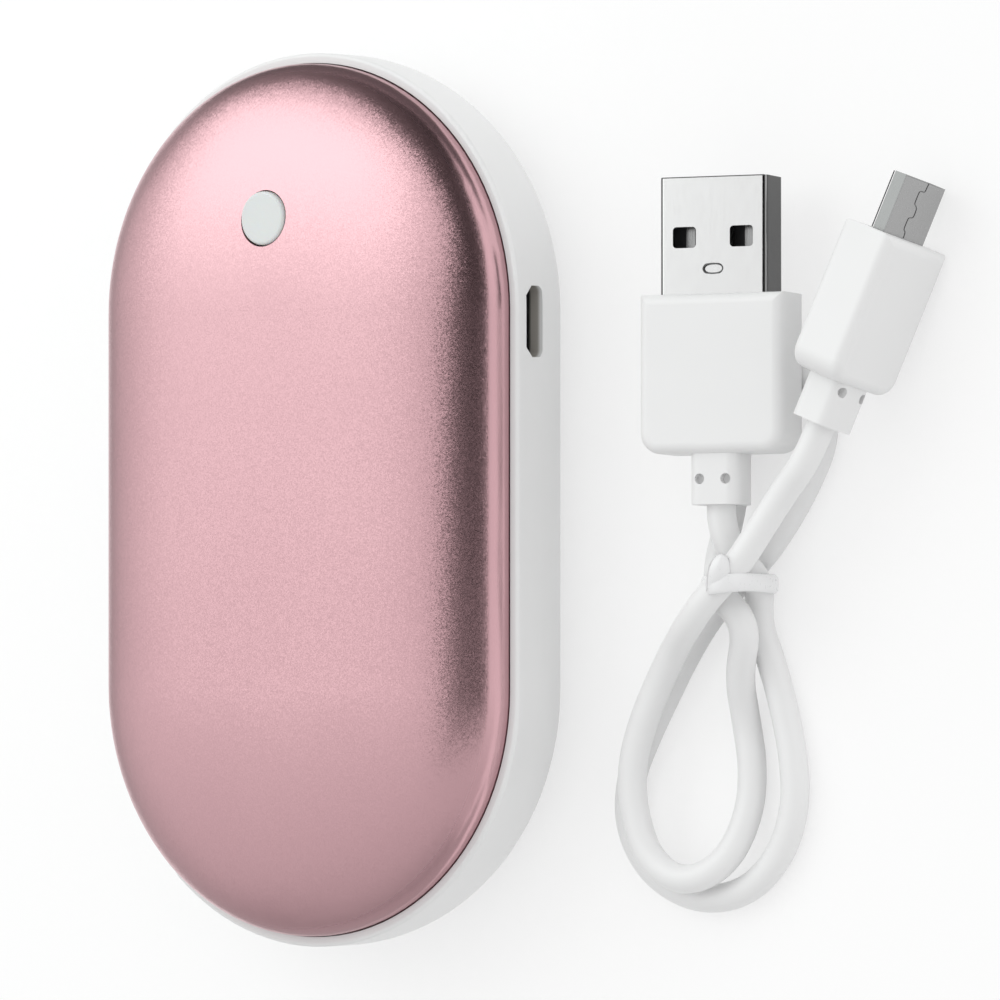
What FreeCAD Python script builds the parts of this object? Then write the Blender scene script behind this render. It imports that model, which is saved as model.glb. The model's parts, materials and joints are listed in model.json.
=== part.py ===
"""Rechargeable hand warmer with its short charging lead.

The warmer lies on its flat back: +Z points out of the metal front, +Y runs along
the length towards the button, +X points out of the charging port. The origin is the
middle of the flat back. All lengths are millimetres.
"""
import FreeCAD
import Part
import Sketcher
import math
import os
from FreeCAD import Vector

doc = FreeCAD.newDocument("hand_warmer")
sheet = doc.addObject("Spreadsheet::Sheet", "dims")

SIZES = [
    ("body_length", 95.5),
    ("body_width", 55.4),
    ("body_height", 22.5),
    ("housing_wall", 2.0),
    ("side_flat", 4.28),
    ("rim_edge_radius", 0.43),
    ("shell_inset", 1.15),
    ("shell_rise", 8.67),
    ("shell_wall", 0.8),
    ("shell_band", 0.76),
    ("crown_flat", 1.0),
    ("seat_depth", 1.15),
    ("seat_clearance", 0.1),
    ("frame_wall", 1.8),
    ("frame_height", 4.8),
    ("frame_rise", 1.1),
    ("hook_length", 6.0),
    ("hook_height", 1.4),
    ("hook_reach", 0.7),
    ("hook_inset", 4.0),
    ("hook_port_gap", 1.5),
    ("hook_clearance", 0.15),
    ("button_out", 9.84),
    ("button_radius", 2.87),
    ("button_clearance", 0.15),
    ("button_proud", 0.3),
    ("button_edge_radius", 0.35),
    ("button_travel", 0.4),
    ("flange_reach", 1.1),
    ("flange_height", 0.8),
    ("flange_clearance", 0.25),
    ("stem_radius", 1.6),
    ("port_back", 1.25),
    ("port_drop", 2.87),
    ("port_width", 7.55),
    ("port_height", 2.85),
    ("port_corner", 0.8),
    ("port_bevel", 1.05),
    ("socket_width", 7.5),
    ("socket_height", 2.45),
    ("socket_depth", 5.0),
    ("socket_wall", 0.3),
    ("socket_setback", 0.4),
    ("socket_tongue_width", 4.6),
    ("socket_tongue_height", 0.6),
    ("socket_contact_width", 0.32),
    ("socket_contact_height", 0.12),
    ("socket_contact_pitch", 0.65),
    ("board_thickness", 1.2),
    ("board_edge_gap", 3.0),
    ("board_back", 4.8),
    ("board_grid", 0.5),
    ("boss_radius", 2.6),
    ("screw_radius", 1.0),
    ("screw_tip_gap", 2.3),
    ("screw_bore_spare", 1.0),
    ("screw_head_radius", 1.9),
    ("screw_head_height", 1.3),
    ("screw_clearance", 0.1),
    ("boss_inset", 6.4),
    ("boss_angle", 39.0),
    ("boss_side_gap", 10.0),
    ("boss_back", 0.5),
    ("switch_side", 6.0),
    ("switch_height", 3.4),
    ("switch_cover", 0.3),
    ("plunger_radius", 1.7),
    ("plunger_height", 6.9),
    ("plunger_clearance", 0.2),
    ("cell_side_gap", 9.0),
    ("cell_corner_gap", 5.8),
    ("cell_board_gap", 2.4),
    ("cell_edge_radius", 2.5),
    ("cushion_thickness", 0.5),
    ("cushion_margin", 3.0),
    ("insulation_thickness", 2.5),
    ("insulation_drop", 5.0),
    ("tab_width", 5.0),
    ("tab_thickness", 0.3),
    ("tab_apart", 18.0),
    ("tab_inset", 1.0),
    ("guard_board_width", 30.0),
    ("guard_board_margin", 3.0),
    ("guard_board_rise", 3.225),
    ("guard_board_thickness", 0.8),
    ("heater_side_gap", 10.8),
    ("heater_end_gap", 2.0),
    ("bond_gap", 0.05),
    ("adhesive_thickness", 0.5),
    ("film_thickness", 0.25),
    ("trace_thickness", 0.15),
    ("trace_width", 1.2),
    ("trace_pitch", 3.0),
    ("trace_margin", 1.5),
    ("sensor_back", 9.0),
    ("sensor_length", 3.0),
    ("sensor_width", 1.8),
    ("sensor_height", 0.9),
    ("lead_diameter", 1.0),
    ("lead_end_gap", 0.02),
    ("battery_lead_side", 5.5),
    ("battery_lead_pitch", 2.5),
    ("battery_lead_rise", 1.825),
    ("heater_lead_side", 5.0),
    ("sensor_lead_diameter", 0.6),
    ("sensor_lead_side", 0.5),
    ("chip_length", 5.0),
    ("chip_width", 4.0),
    ("chip_height", 1.5),
    ("inductor_length", 6.0),
    ("inductor_width", 6.0),
    ("inductor_height", 3.0),
    ("capacitor_length", 2.0),
    ("capacitor_width", 1.25),
    ("capacitor_height", 1.0),
    ("resistor_length", 1.6),
    ("resistor_width", 0.8),
    ("resistor_height", 0.5),
    ("lamp_length", 1.6),
    ("lamp_width", 0.8),
    ("lamp_height", 0.7),
    ("lamp_offset", 2.2),
    ("transistor_length", 3.0),
    ("transistor_width", 1.5),
    ("transistor_height", 1.1),
    ("cord_diameter", 3.05),
    ("usb_shell_width", 12.0),
    ("usb_shell_height", 4.5),
    ("usb_shell_length", 12.2),
    ("usb_shell_wall", 0.32),
    ("usb_shell_corner", 0.5),
    ("usb_shell_root", 4.0),
    ("usb_window_width", 2.6),
    ("usb_window_length", 2.2),
    ("usb_window_apart", 6.4),
    ("usb_window_place", 5.9),
    ("usb_window_corner", 0.4),
    ("usb_dimple_width", 2.3),
    ("usb_dimple_length", 1.1),
    ("usb_dimple_place", 2.6),
    ("usb_dimple_depth", 0.2),
    ("usb_tongue_height", 1.9),
    ("usb_tongue_setback", 0.5),
    ("usb_contact_width", 1.0),
    ("usb_contact_height", 0.25),
    ("usb_contact_pitch", 2.2),
    ("usb_contact_length", 7.5),
    ("usb_body_width", 16.1),
    ("usb_body_height", 6.6),
    ("usb_body_length", 16.6),
    ("usb_body_corner", 2.2),
    ("usb_body_edge", 1.1),
    ("usb_neck_width", 5.5),
    ("usb_neck_height", 5.0),
    ("usb_neck_length", 5.3),
    ("neck_edge", 1.3),
    ("neck_hole_radius", 0.55),
    ("neck_hole_depth", 1.0),
    ("usb_hole_place", 2.65),
    ("usb_hole_apart", 2.9),
    ("usb_exit_x", 50.17),
    ("usb_exit_y", -0.52),
    ("usb_exit_z", 8.60),
    ("usb_yaw", 1.5),
    ("usb_roll", 13.1),
    ("usb_tilt", -2.0),
    ("micro_shell_width", 6.85),
    ("micro_shell_height", 1.8),
    ("micro_shell_length", 6.3),
    ("micro_shell_wall", 0.3),
    ("micro_shell_bevel", 0.35),
    ("micro_shell_root", 3.0),
    ("micro_tongue_height", 0.5),
    ("micro_tongue_width", 5.2),
    ("micro_contact_width", 0.35),
    ("micro_contact_height", 0.12),
    ("micro_contact_pitch", 0.65),
    ("micro_contact_length", 4.0),
    ("latch_width", 0.8),
    ("latch_length", 1.4),
    ("latch_height", 0.3),
    ("latch_apart", 4.0),
    ("latch_place", 2.6),
    ("latch_arm_thickness", 0.12),
    ("micro_body_width", 10.5),
    ("micro_body_height", 6.8),
    ("micro_body_length", 16.0),
    ("micro_body_corner", 2.0),
    ("micro_body_edge", 1.1),
    ("micro_neck_width", 5.4),
    ("micro_neck_height", 5.0),
    ("micro_neck_length", 4.8),
    ("micro_hole_place", 3.9),
    ("micro_hole_apart", 3.4),
    ("micro_exit_x", 63.12),
    ("micro_exit_y", 7.83),
    ("micro_exit_z", 9.00),
    ("micro_yaw", -19.9),
    ("micro_roll", 84.3),
    ("micro_tilt", -9.8),
    ("tie_width", 2.5),
    ("tie_thickness", 0.76),
    ("tie_end_radius", 3.53),
    ("tie_half_straight", 2.77),
    ("tie_x", 49.85),
    ("tie_y", -8.69),
    ("tie_z", 6.64),
    ("tie_lean", 52.5),
]

for row, (name, amount) in enumerate(SIZES, start=1):
    sheet.set("A%d" % row, name)
    sheet.set("B%d" % row, repr(amount))
    sheet.setAlias("B%d" % row, name)
doc.recompute()
size = {name: float(sheet.get(name)) for name, amount in SIZES}


def cells(text):
    """The expression with each name of the sheet written as a cell of it."""
    out = []
    word = ""
    for letter in text + " ":
        if letter.isalnum() or letter == "_":
            word += letter
            continue
        out.append("dims." + word if word in size else word)
        out.append(letter)
        word = ""
    return "".join(out).strip()


# Places that several pieces share
HALF = "(body_width / 2)"
STRAIGHT = "((body_length - body_width) / 2)"
RIM = "(body_height - shell_rise)"
FLOOR = "housing_wall"
BACK_RADIUS = "(%s - side_flat)" % RIM
SHELL_HALF = "(body_width / 2 - shell_inset)"
DOME_BASE = "(body_height - shell_rise + shell_band)"
DOME_RISE = "(shell_rise - shell_band)"
PORT_Z = "(body_height - shell_rise - port_drop)"
BOARD_TOP = "(body_height - shell_rise - port_drop - socket_height / 2)"
BOARD_BOTTOM = "(%s - board_thickness)" % BOARD_TOP
BUTTON_Y = "(%s + button_out)" % STRAIGHT
PORT_Y = "(%s - port_back)" % STRAIGHT
BOARD_START = "(%s - board_back)" % STRAIGHT
BOARD_HALF = "(%s - housing_wall - board_edge_gap)" % HALF
SCREW_LENGTH = "(%s - housing_wall - screw_tip_gap)" % BOARD_TOP
CELL_HALF = "(%s - housing_wall - cell_side_gap)" % HALF
CELL_WIDTH = "(2 * %s)" % CELL_HALF
CELL_NEAR_OUT = "sqrt(pow(%s - housing_wall - cell_corner_gap; 2) - pow(%s; 2))" % (HALF, CELL_HALF)
CELL_START = "(-%s - %s)" % (STRAIGHT, CELL_NEAR_OUT)
CELL_END = "(%s - cell_board_gap)" % BOARD_START
CELL_LENGTH = "(%s - %s)" % (CELL_END, CELL_START)
CELL_MIDDLE = "((%s + %s) / 2)" % (CELL_END, CELL_START)
CELL_BOTTOM = "(housing_wall + cushion_thickness)"
CELL_TOP = "(body_height - insulation_drop - insulation_thickness)"
CELL_HEIGHT = "(%s - %s)" % (CELL_TOP, CELL_BOTTOM)
HEATER_HALF = "(%s - heater_side_gap)" % SHELL_HALF
HEATER_LENGTH = "(2 * (%s - heater_end_gap))" % STRAIGHT
SENSOR_Y = "(%s / 2 - sensor_back)" % HEATER_LENGTH
DOME_RUN = "(%s - crown_flat)" % SHELL_HALF
SHELL_TOP_AT_BUTTON = "(%s + %s * sqrt(1 - pow((button_out - crown_flat) / %s; 2)))" % (
    DOME_BASE, DOME_RISE, DOME_RUN)
FLANGE_EDGE = "(button_out + button_radius + flange_reach - crown_flat)"
SHELL_UNDER_FLANGE = "(%s + (%s - shell_wall) * sqrt(1 - pow(%s / (%s - shell_wall); 2)))" % (
    DOME_BASE, DOME_RISE, FLANGE_EDGE, DOME_RUN)
FLANGE_TOP = "(%s - flange_clearance)" % SHELL_UNDER_FLANGE
PLUNGER_TOP = "(%s + plunger_height)" % BOARD_TOP


def bind(thing, prop, text):
    thing.setExpression(prop, cells(text))


def number(text):
    """The value of a sheet expression, for shapes that are set directly."""
    scope = doc.getObject("scratch_cells")
    if scope is None:
        scope = doc.addObject("App::FeaturePython", "scratch_cells")
        scope.addProperty("App::PropertyFloat", "answer")
    scope.setExpression("answer", cells(text))
    scope.recompute()
    return float(scope.answer)


nodes = {}


def node(thing, label):
    thing.Label = label
    nodes[label] = thing
    return thing


def plane(body, role):
    return next(f for f in body.Origin.OriginFeatures if f.Role == role)


def new_body(name):
    return doc.addObject("PartDesign::Body", name)


def sketch_on(body, name, role, x="0", y="0", z="0"):
    sketch = body.newObject("Sketcher::SketchObject", name)
    sketch.AttachmentSupport = [(plane(body, role), "")]
    sketch.MapMode = "FlatFace"
    for axis, text in (("x", x), ("y", y), ("z", z)):
        if text != "0":
            bind(sketch, "AttachmentOffset.Base." + axis, text)
    return sketch


def constrain(sketch, name, text, *args):
    """A driving constraint whose value is bound to the sheet."""
    index = sketch.addConstraint(Sketcher.Constraint(*args, number(text)))
    sketch.renameConstraint(index, name)
    sketch.setExpression("Constraints." + name, cells(text))


def stadium(sketch, half_width, half_straight, along_x=False):
    """Two straight sides and two half circles, centred on the sketch's origin."""
    w = number(half_width)
    c = number(half_straight)
    turn = -90 if along_x else 0
    spin = FreeCAD.Rotation(Vector(0, 0, 1), turn)

    def at(x, y):
        return spin.multVec(Vector(x, y, 0))

    def arc(y, start):
        circle = Part.Circle(at(0, y), Vector(0, 0, 1), w)
        first = start + math.radians(turn)
        return Part.ArcOfCircle(circle, first, first + math.pi)

    sketch.addGeometry(Part.LineSegment(at(w, -c), at(w, c)))
    sketch.addGeometry(arc(c, 0.0))
    sketch.addGeometry(Part.LineSegment(at(-w, c), at(-w, -c)))
    sketch.addGeometry(arc(-c, math.pi))
    for a, b in ((0, 1), (1, 2), (2, 3), (3, 0)):
        sketch.addConstraint(Sketcher.Constraint("Tangent", a, 2, b, 1))
    axis = -1 if along_x else -2
    sketch.addConstraint(Sketcher.Constraint("PointOnObject", 1, 3, axis))
    sketch.addConstraint(Sketcher.Constraint("Symmetric", 1, 3, 3, 3, -1, 1))
    sketch.addConstraint(Sketcher.Constraint("Equal", 1, 3))
    constrain(sketch, "end_radius", half_width, "Radius", 1)
    constrain(sketch, "straight", "2 * (%s)" % half_straight, "Distance", 1, 3, 3, 3)


def rectangle(sketch, wide, high):
    """A rectangle centred on the sketch's origin."""
    w = number(wide) / 2
    k = number(high) / 2
    corners = [Vector(-w, -k, 0), Vector(w, -k, 0), Vector(w, k, 0), Vector(-w, k, 0)]
    for i in range(4):
        sketch.addGeometry(Part.LineSegment(corners[i], corners[(i + 1) % 4]))
    for i in range(4):
        sketch.addConstraint(Sketcher.Constraint("Coincident", i, 2, (i + 1) % 4, 1))
    for i in (0, 2):
        sketch.addConstraint(Sketcher.Constraint("Horizontal", i))
    for i in (1, 3):
        sketch.addConstraint(Sketcher.Constraint("Vertical", i))
    sketch.addConstraint(Sketcher.Constraint("Symmetric", 0, 1, 2, 1, -1, 1))
    constrain(sketch, "wide", wide, "Distance", 0)
    constrain(sketch, "high", high, "Distance", 1)


def circle(sketch, radius):
    sketch.addGeometry(Part.Circle(Vector(0, 0, 0), Vector(0, 0, 1), number(radius)))
    sketch.addConstraint(Sketcher.Constraint("Coincident", 0, 3, -1, 1))
    constrain(sketch, "round", radius, "Radius", 0)


def crown_side(sketch, wide, high, side):
    """A quarter of an ellipse beside the crown's flat strip; side is 1 or -1."""
    flat = size["crown_flat"]
    start = 0.0 if side > 0 else math.pi / 2
    base, top = (1, 2) if side > 0 else (2, 1)
    name = "right" if side > 0 else "left"
    arc = sketch.GeometryCount
    whole = Part.Ellipse(Vector(side * flat, 0, 0), number(wide) - flat, number(high))
    sketch.addGeometry(Part.ArcOfEllipse(whole, start, start + math.pi / 2))
    sketch.exposeInternalGeometry(arc)
    sketch.addConstraint(Sketcher.Constraint("PointOnObject", arc, 3, -1))
    sketch.addConstraint(Sketcher.Constraint("Horizontal", arc + 1))
    sketch.addConstraint(Sketcher.Constraint("PointOnObject", arc, base, -1))
    sketch.addConstraint(Sketcher.Constraint("Vertical", arc, top, arc, 3))
    ends = (-1, 1, arc, 3) if side > 0 else (arc, 3, -1, 1)
    constrain(sketch, "flat_" + name, "crown_flat", "DistanceX", *ends)
    constrain(sketch, "wide_" + name, "2 * (%s - crown_flat)" % wide, "Distance", arc + 1)
    constrain(sketch, "high_" + name, "2 * (%s)" % high, "Distance", arc + 2)
    return arc


def crown(sketch, wide, high, quarter=False):
    """The domed section, flat along its middle line; a quarter stops at that line."""
    a = number(wide)
    b = number(high)
    flat = size["crown_flat"]
    right = crown_side(sketch, wide, high, 1)
    if quarter:
        line = sketch.GeometryCount
        sketch.addGeometry(Part.LineSegment(Vector(flat, b, 0), Vector(0, b, 0)))
        sketch.addGeometry(Part.LineSegment(Vector(0, b, 0), Vector(0, 0, 0)))
        sketch.addGeometry(Part.LineSegment(Vector(0, 0, 0), Vector(a, 0, 0)))
        sketch.addConstraint(Sketcher.Constraint("Coincident", right, 2, line, 1))
        sketch.addConstraint(Sketcher.Constraint("Coincident", line, 2, line + 1, 1))
        sketch.addConstraint(Sketcher.Constraint("Coincident", line + 1, 2, line + 2, 1))
        sketch.addConstraint(Sketcher.Constraint("Coincident", line + 2, 2, right, 1))
        sketch.addConstraint(Sketcher.Constraint("Horizontal", line))
        sketch.addConstraint(Sketcher.Constraint("PointOnObject", line, 2, -2))
        sketch.addConstraint(Sketcher.Constraint("Coincident", line + 1, 2, -1, 1))
        return
    left = crown_side(sketch, wide, high, -1)
    line = sketch.GeometryCount
    sketch.addGeometry(Part.LineSegment(Vector(flat, b, 0), Vector(-flat, b, 0)))
    sketch.addGeometry(Part.LineSegment(Vector(-a, 0, 0), Vector(a, 0, 0)))
    sketch.addConstraint(Sketcher.Constraint("Coincident", right, 2, line, 1))
    sketch.addConstraint(Sketcher.Constraint("Coincident", line, 2, left, 1))
    sketch.addConstraint(Sketcher.Constraint("Coincident", left, 2, line + 1, 1))
    sketch.addConstraint(Sketcher.Constraint("Coincident", line + 1, 2, right, 1))


def grow(body, kind, name, sketch, length, both=False, back=False):
    """A pad or a pocket of the sketch."""
    feature = body.newObject("PartDesign::" + kind, name)
    feature.Profile = sketch
    bind(feature, "Length", length)
    feature.Midplane = both
    feature.Reversed = back
    doc.recompute()
    return feature


def spin(body, kind, name, sketch, angle, back=False):
    """A revolution or a groove about the sketch's upright axis."""
    feature = body.newObject("PartDesign::" + kind, name)
    feature.Profile = sketch
    feature.ReferenceAxis = (sketch, ["V_Axis"])
    feature.Angle = angle
    feature.Reversed = back
    doc.recompute()
    return feature


def edges_where(shape, test):
    return ["Edge%d" % (i + 1) for i, edge in enumerate(shape.Edges) if test(edge)]


def fillet(body, name, radius, test):
    base = body.Tip
    picked = edges_where(base.Shape, test)
    feature = body.newObject("PartDesign::Fillet", name)
    feature.Base = (base, picked)
    bind(feature, "Radius", radius)
    doc.recompute()
    return feature


def chamfer(body, name, amount, test):
    base = body.Tip
    picked = edges_where(base.Shape, test)
    feature = body.newObject("PartDesign::Chamfer", name)
    feature.Base = (base, picked)
    bind(feature, "Size", amount)
    doc.recompute()
    return feature


def level(edge, height):
    box = edge.BoundBox
    return abs(box.ZMin - height) < 1e-4 and abs(box.ZMax - height) < 1e-4


def runs_along(edge, axis):
    first = edge.Vertexes[0].Point
    last = edge.Vertexes[-1].Point
    way = last - first
    return way.Length > 1e-6 and abs(abs(way.normalize().dot(axis)) - 1) < 1e-6


def place(thing, x="0", y="0", z="0"):
    for axis, text in (("x", x), ("y", y), ("z", z)):
        if text != "0":
            bind(thing, "Placement.Base." + axis, text)
    return thing


def block(name, wide, deep, high, x, y, z):
    """A box with its middle at x, y and its underside at z."""
    thing = doc.addObject("Part::Box", name)
    bind(thing, "Length", wide)
    bind(thing, "Width", deep)
    bind(thing, "Height", high)
    return place(thing, "(%s) - (%s) / 2" % (x, wide), "(%s) - (%s) / 2" % (y, deep), z)


def rod(name, radius, high, x, y, z):
    """An upright cylinder with its underside at z."""
    thing = doc.addObject("Part::Cylinder", name)
    bind(thing, "Radius", radius)
    bind(thing, "Height", high)
    return place(thing, x, y, z)


def cut(name, base, tool):
    thing = doc.addObject("Part::Cut", name)
    thing.Base = base
    thing.Tool = tool
    return thing


def common(name, base, tool):
    thing = doc.addObject("Part::Common", name)
    thing.Base = base
    thing.Tool = tool
    return thing


def join(name, pieces):
    thing = doc.addObject("Part::MultiFuse", name)
    thing.Shapes = pieces
    return thing


def group(name, pieces):
    thing = doc.addObject("Part::Compound", name)
    thing.Links = pieces
    return thing


# Front shell: a deep-drawn metal cover, domed both ways over its long outline
shell = new_body("front_shell_body")
band_sketch = sketch_on(shell, "shell_band_outline", "XY_Plane", z="%s - seat_depth" % RIM)
stadium(band_sketch, SHELL_HALF, STRAIGHT)
grow(shell, "Pad", "shell_band_pad", band_sketch, "seat_depth + shell_band")
crown_sketch = sketch_on(shell, "shell_crown", "XZ_Plane", y=DOME_BASE)
crown(crown_sketch, SHELL_HALF, DOME_RISE)
grow(shell, "Pad", "shell_crown_pad", crown_sketch, "2 * " + STRAIGHT, both=True)
for side, sign, back in (("far", "-", False), ("near", "", True)):
    end_sketch = sketch_on(shell, "shell_end_" + side, "XZ_Plane", y=DOME_BASE, z=sign + STRAIGHT)
    crown(end_sketch, SHELL_HALF, DOME_RISE, quarter=True)
    spin(shell, "Revolution", "shell_end_turn_" + side, end_sketch, 180, back)
hollow_sketch = sketch_on(shell, "shell_hollow_outline", "XY_Plane", z="%s - seat_depth" % RIM)
stadium(hollow_sketch, SHELL_HALF + " - shell_wall", STRAIGHT)
grow(shell, "Pocket", "shell_hollow", hollow_sketch, "seat_depth + shell_band", back=True)
under_sketch = sketch_on(shell, "shell_underside", "XZ_Plane", y=DOME_BASE)
crown(under_sketch, SHELL_HALF + " - shell_wall", DOME_RISE + " - shell_wall")
grow(shell, "Pocket", "shell_underside_cut", under_sketch, "2 * " + STRAIGHT, both=True)
for side, sign, back in (("far", "-", False), ("near", "", True)):
    end_sketch = sketch_on(shell, "shell_inside_" + side, "XZ_Plane", y=DOME_BASE, z=sign + STRAIGHT)
    crown(end_sketch, SHELL_HALF + " - shell_wall", DOME_RISE + " - shell_wall", quarter=True)
    spin(shell, "Groove", "shell_inside_turn_" + side, end_sketch, 180, back)
hole_sketch = sketch_on(shell, "button_hole_outline", "XY_Plane", y=BUTTON_Y, z="body_height + 1")
circle(hole_sketch, "button_radius + button_clearance")
grow(shell, "Pocket", "button_hole", hole_sketch, DOME_RISE)
node(shell, "front_shell")

# Rear housing: a moulded tub with a rounded back, a seat for the shell and the port slot
tub = new_body("rear_housing_body")
tub_sketch = sketch_on(tub, "tub_outline", "XY_Plane")
stadium(tub_sketch, HALF, STRAIGHT)
grow(tub, "Pad", "tub_pad", tub_sketch, RIM)
cavity_sketch = sketch_on(tub, "tub_cavity_outline", "XY_Plane", z=RIM)
stadium(cavity_sketch, HALF + " - housing_wall", STRAIGHT)
grow(tub, "Pocket", "tub_cavity", cavity_sketch, RIM + " - housing_wall")


def cavity_floor_edge(edge):
    inside = number(HALF + " - housing_wall")
    reach = max(abs(edge.BoundBox.XMin), abs(edge.BoundBox.XMax))
    return level(edge, size["housing_wall"]) and reach < inside + 1e-3


fillet(tub, "tub_floor_rounding", BACK_RADIUS + " - housing_wall", cavity_floor_edge)


def outer_rim_edge(edge):
    reach = max(abs(edge.BoundBox.XMin), abs(edge.BoundBox.XMax))
    return level(edge, number(RIM)) and reach > number(HALF) - 1e-3


fillet(tub, "tub_back_rounding", BACK_RADIUS, lambda edge: level(edge, 0.0))
fillet(tub, "tub_rim_rounding", "rim_edge_radius", outer_rim_edge)
seat_sketch = sketch_on(tub, "tub_seat_outline", "XY_Plane", z=RIM)
stadium(seat_sketch, SHELL_HALF + " + seat_clearance", STRAIGHT)
grow(tub, "Pocket", "tub_seat", seat_sketch, "seat_depth")
slot_sketch = sketch_on(tub, "port_slot_outline", "YZ_Plane", x=PORT_Y, y=PORT_Z, z=HALF + " + 1")
rectangle(slot_sketch, "port_width", "port_height")
grow(tub, "Pocket", "port_slot", slot_sketch, "housing_wall + 2")


def slot_edge(edge):
    box = edge.BoundBox
    across = runs_along(edge, Vector(1, 0, 0))
    beside = abs(abs(box.Center.y - number(PORT_Y)) - size["port_width"] / 2) < 1e-3
    return across and beside and box.XMin > 0


def lower_slot_edge(edge):
    return slot_edge(edge) and edge.BoundBox.Center.z < number(PORT_Z)


def upper_slot_edge(edge):
    return slot_edge(edge) and edge.BoundBox.Center.z > number(PORT_Z) + size["port_height"] / 2 - 1e-3


fillet(tub, "port_slot_rounding", "port_corner", lower_slot_edge)
chamfer(tub, "port_slot_bevelling", "port_bevel", upper_slot_edge)
BOSS_RING = "(%s - housing_wall - boss_inset)" % HALF
BOSS_FAR_X = "(%s * sin(boss_angle))" % BOSS_RING
BOSS_FAR_Y = "(%s + %s * cos(boss_angle))" % (STRAIGHT, BOSS_RING)
BOSSES = [
    ("left", "-" + BOSS_FAR_X, BOSS_FAR_Y),
    ("right", BOSS_FAR_X, BOSS_FAR_Y),
    ("near", "-(%s - housing_wall - boss_side_gap)" % HALF, "%s - boss_back" % STRAIGHT),
]
for where, x, y in BOSSES:
    boss_sketch = sketch_on(tub, "boss_outline_" + where, "XY_Plane", x=x, y=y, z="housing_wall / 2")
    circle(boss_sketch, "boss_radius")
    grow(tub, "Pad", "boss_" + where, boss_sketch, BOARD_BOTTOM + " - housing_wall / 2")
for where, x, y in BOSSES:
    bore_sketch = sketch_on(tub, "boss_bore_outline_" + where, "XY_Plane", x=x, y=y, z=BOARD_BOTTOM)
    circle(bore_sketch, "screw_radius + screw_clearance / 2")
    grow(tub, "Pocket", "boss_bore_" + where, bore_sketch,
         SCREW_LENGTH + " - board_thickness + screw_bore_spare")
FRAME_TOP = "(%s + frame_rise)" % RIM
FRAME_BOTTOM = "(%s + frame_rise - frame_height)" % RIM
HOOK_Z = "(%s + hook_height / 2 + 0.3)" % FRAME_BOTTOM
HOOK_FAR = "%s - port_width / 2 - hook_port_gap - hook_length / 2" % PORT_Y
HOOK_NEAR = "hook_inset - " + STRAIGHT
HOOKS = [
    ("right_far", "1", HOOK_FAR),
    ("right_near", "1", HOOK_NEAR),
    ("left_far", "-1", HOOK_FAR),
    ("left_near", "-1", HOOK_NEAR),
]
for where, sign, y in HOOKS:
    catch = sketch_on(
        tub, "catch_outline_" + where, "YZ_Plane", x=y, y=HOOK_Z,
        z="%s * (%s - housing_wall)" % (sign, HALF))
    rectangle(catch, "hook_length + 2 * hook_clearance", "hook_height + 2 * hook_clearance")
    grow(tub, "Pocket", "catch_" + where, catch, "hook_reach + hook_clearance", back=sign == "1")
node(tub, "rear_housing")

# Inner frame: a ring inside the shell, with snap hooks into the tub
frame = new_body("inner_frame_body")
ring_sketch = sketch_on(frame, "ring_outline", "XY_Plane", z=FRAME_BOTTOM)
stadium(ring_sketch, SHELL_HALF + " - shell_wall - seat_clearance", STRAIGHT)
grow(frame, "Pad", "ring_pad", ring_sketch, "frame_height")
gap_sketch = sketch_on(frame, "ring_inside_outline", "XY_Plane", z=FRAME_TOP)
stadium(gap_sketch, SHELL_HALF + " - shell_wall - seat_clearance - frame_wall", STRAIGHT)
grow(frame, "Pocket", "ring_inside", gap_sketch, "frame_height")
HOOK_LENGTH = "hook_reach + seat_clearance + frame_wall / 2 + %s - housing_wall - (%s - shell_wall)" % (
    HALF, SHELL_HALF)
for where, sign, y in HOOKS:
    hook = sketch_on(
        frame, "hook_outline_" + where, "YZ_Plane", x=y, y=HOOK_Z,
        z="%s * (%s - shell_wall - seat_clearance - frame_wall / 2)" % (sign, SHELL_HALF))
    rectangle(hook, "hook_length", "hook_height")
    grow(frame, "Pad", "hook_" + where, hook, HOOK_LENGTH, back=sign == "-1")
notch_sketch = sketch_on(frame, "port_notch_outline", "YZ_Plane", x=PORT_Y, y=PORT_Z, z=HALF)
rectangle(notch_sketch, "socket_width + 1.2", "socket_height + 1.2")
grow(frame, "Pocket", "port_notch", notch_sketch, "frame_wall + housing_wall + shell_wall + 1")
node(frame, "inner_frame")

# Button cap: a translucent cap with a flange under the shell and a stem to the switch
cap = new_body("button_cap_body")
stem_sketch = sketch_on(cap, "stem_outline", "XY_Plane", y=BUTTON_Y, z=PLUNGER_TOP)
circle(stem_sketch, "stem_radius")
grow(cap, "Pad", "stem_pad", stem_sketch, "%s - flange_height - %s + 0.2" % (FLANGE_TOP, PLUNGER_TOP))
flange_sketch = sketch_on(
    cap, "flange_outline", "XY_Plane", y=BUTTON_Y, z=FLANGE_TOP + " - flange_height")
circle(flange_sketch, "button_radius + flange_reach")
grow(cap, "Pad", "flange_pad", flange_sketch, "flange_height")
crown_outline = sketch_on(cap, "cap_outline", "XY_Plane", y=BUTTON_Y, z=FLANGE_TOP + " - 0.2")
circle(crown_outline, "button_radius")
CAP_TOP = "(%s + button_proud)" % SHELL_TOP_AT_BUTTON
grow(cap, "Pad", "cap_pad", crown_outline, "%s - %s + 0.2" % (CAP_TOP, FLANGE_TOP))
fillet(cap, "cap_rounding", "button_edge_radius", lambda edge: level(edge, number(CAP_TOP)))
node(cap, "button_cap")

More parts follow.
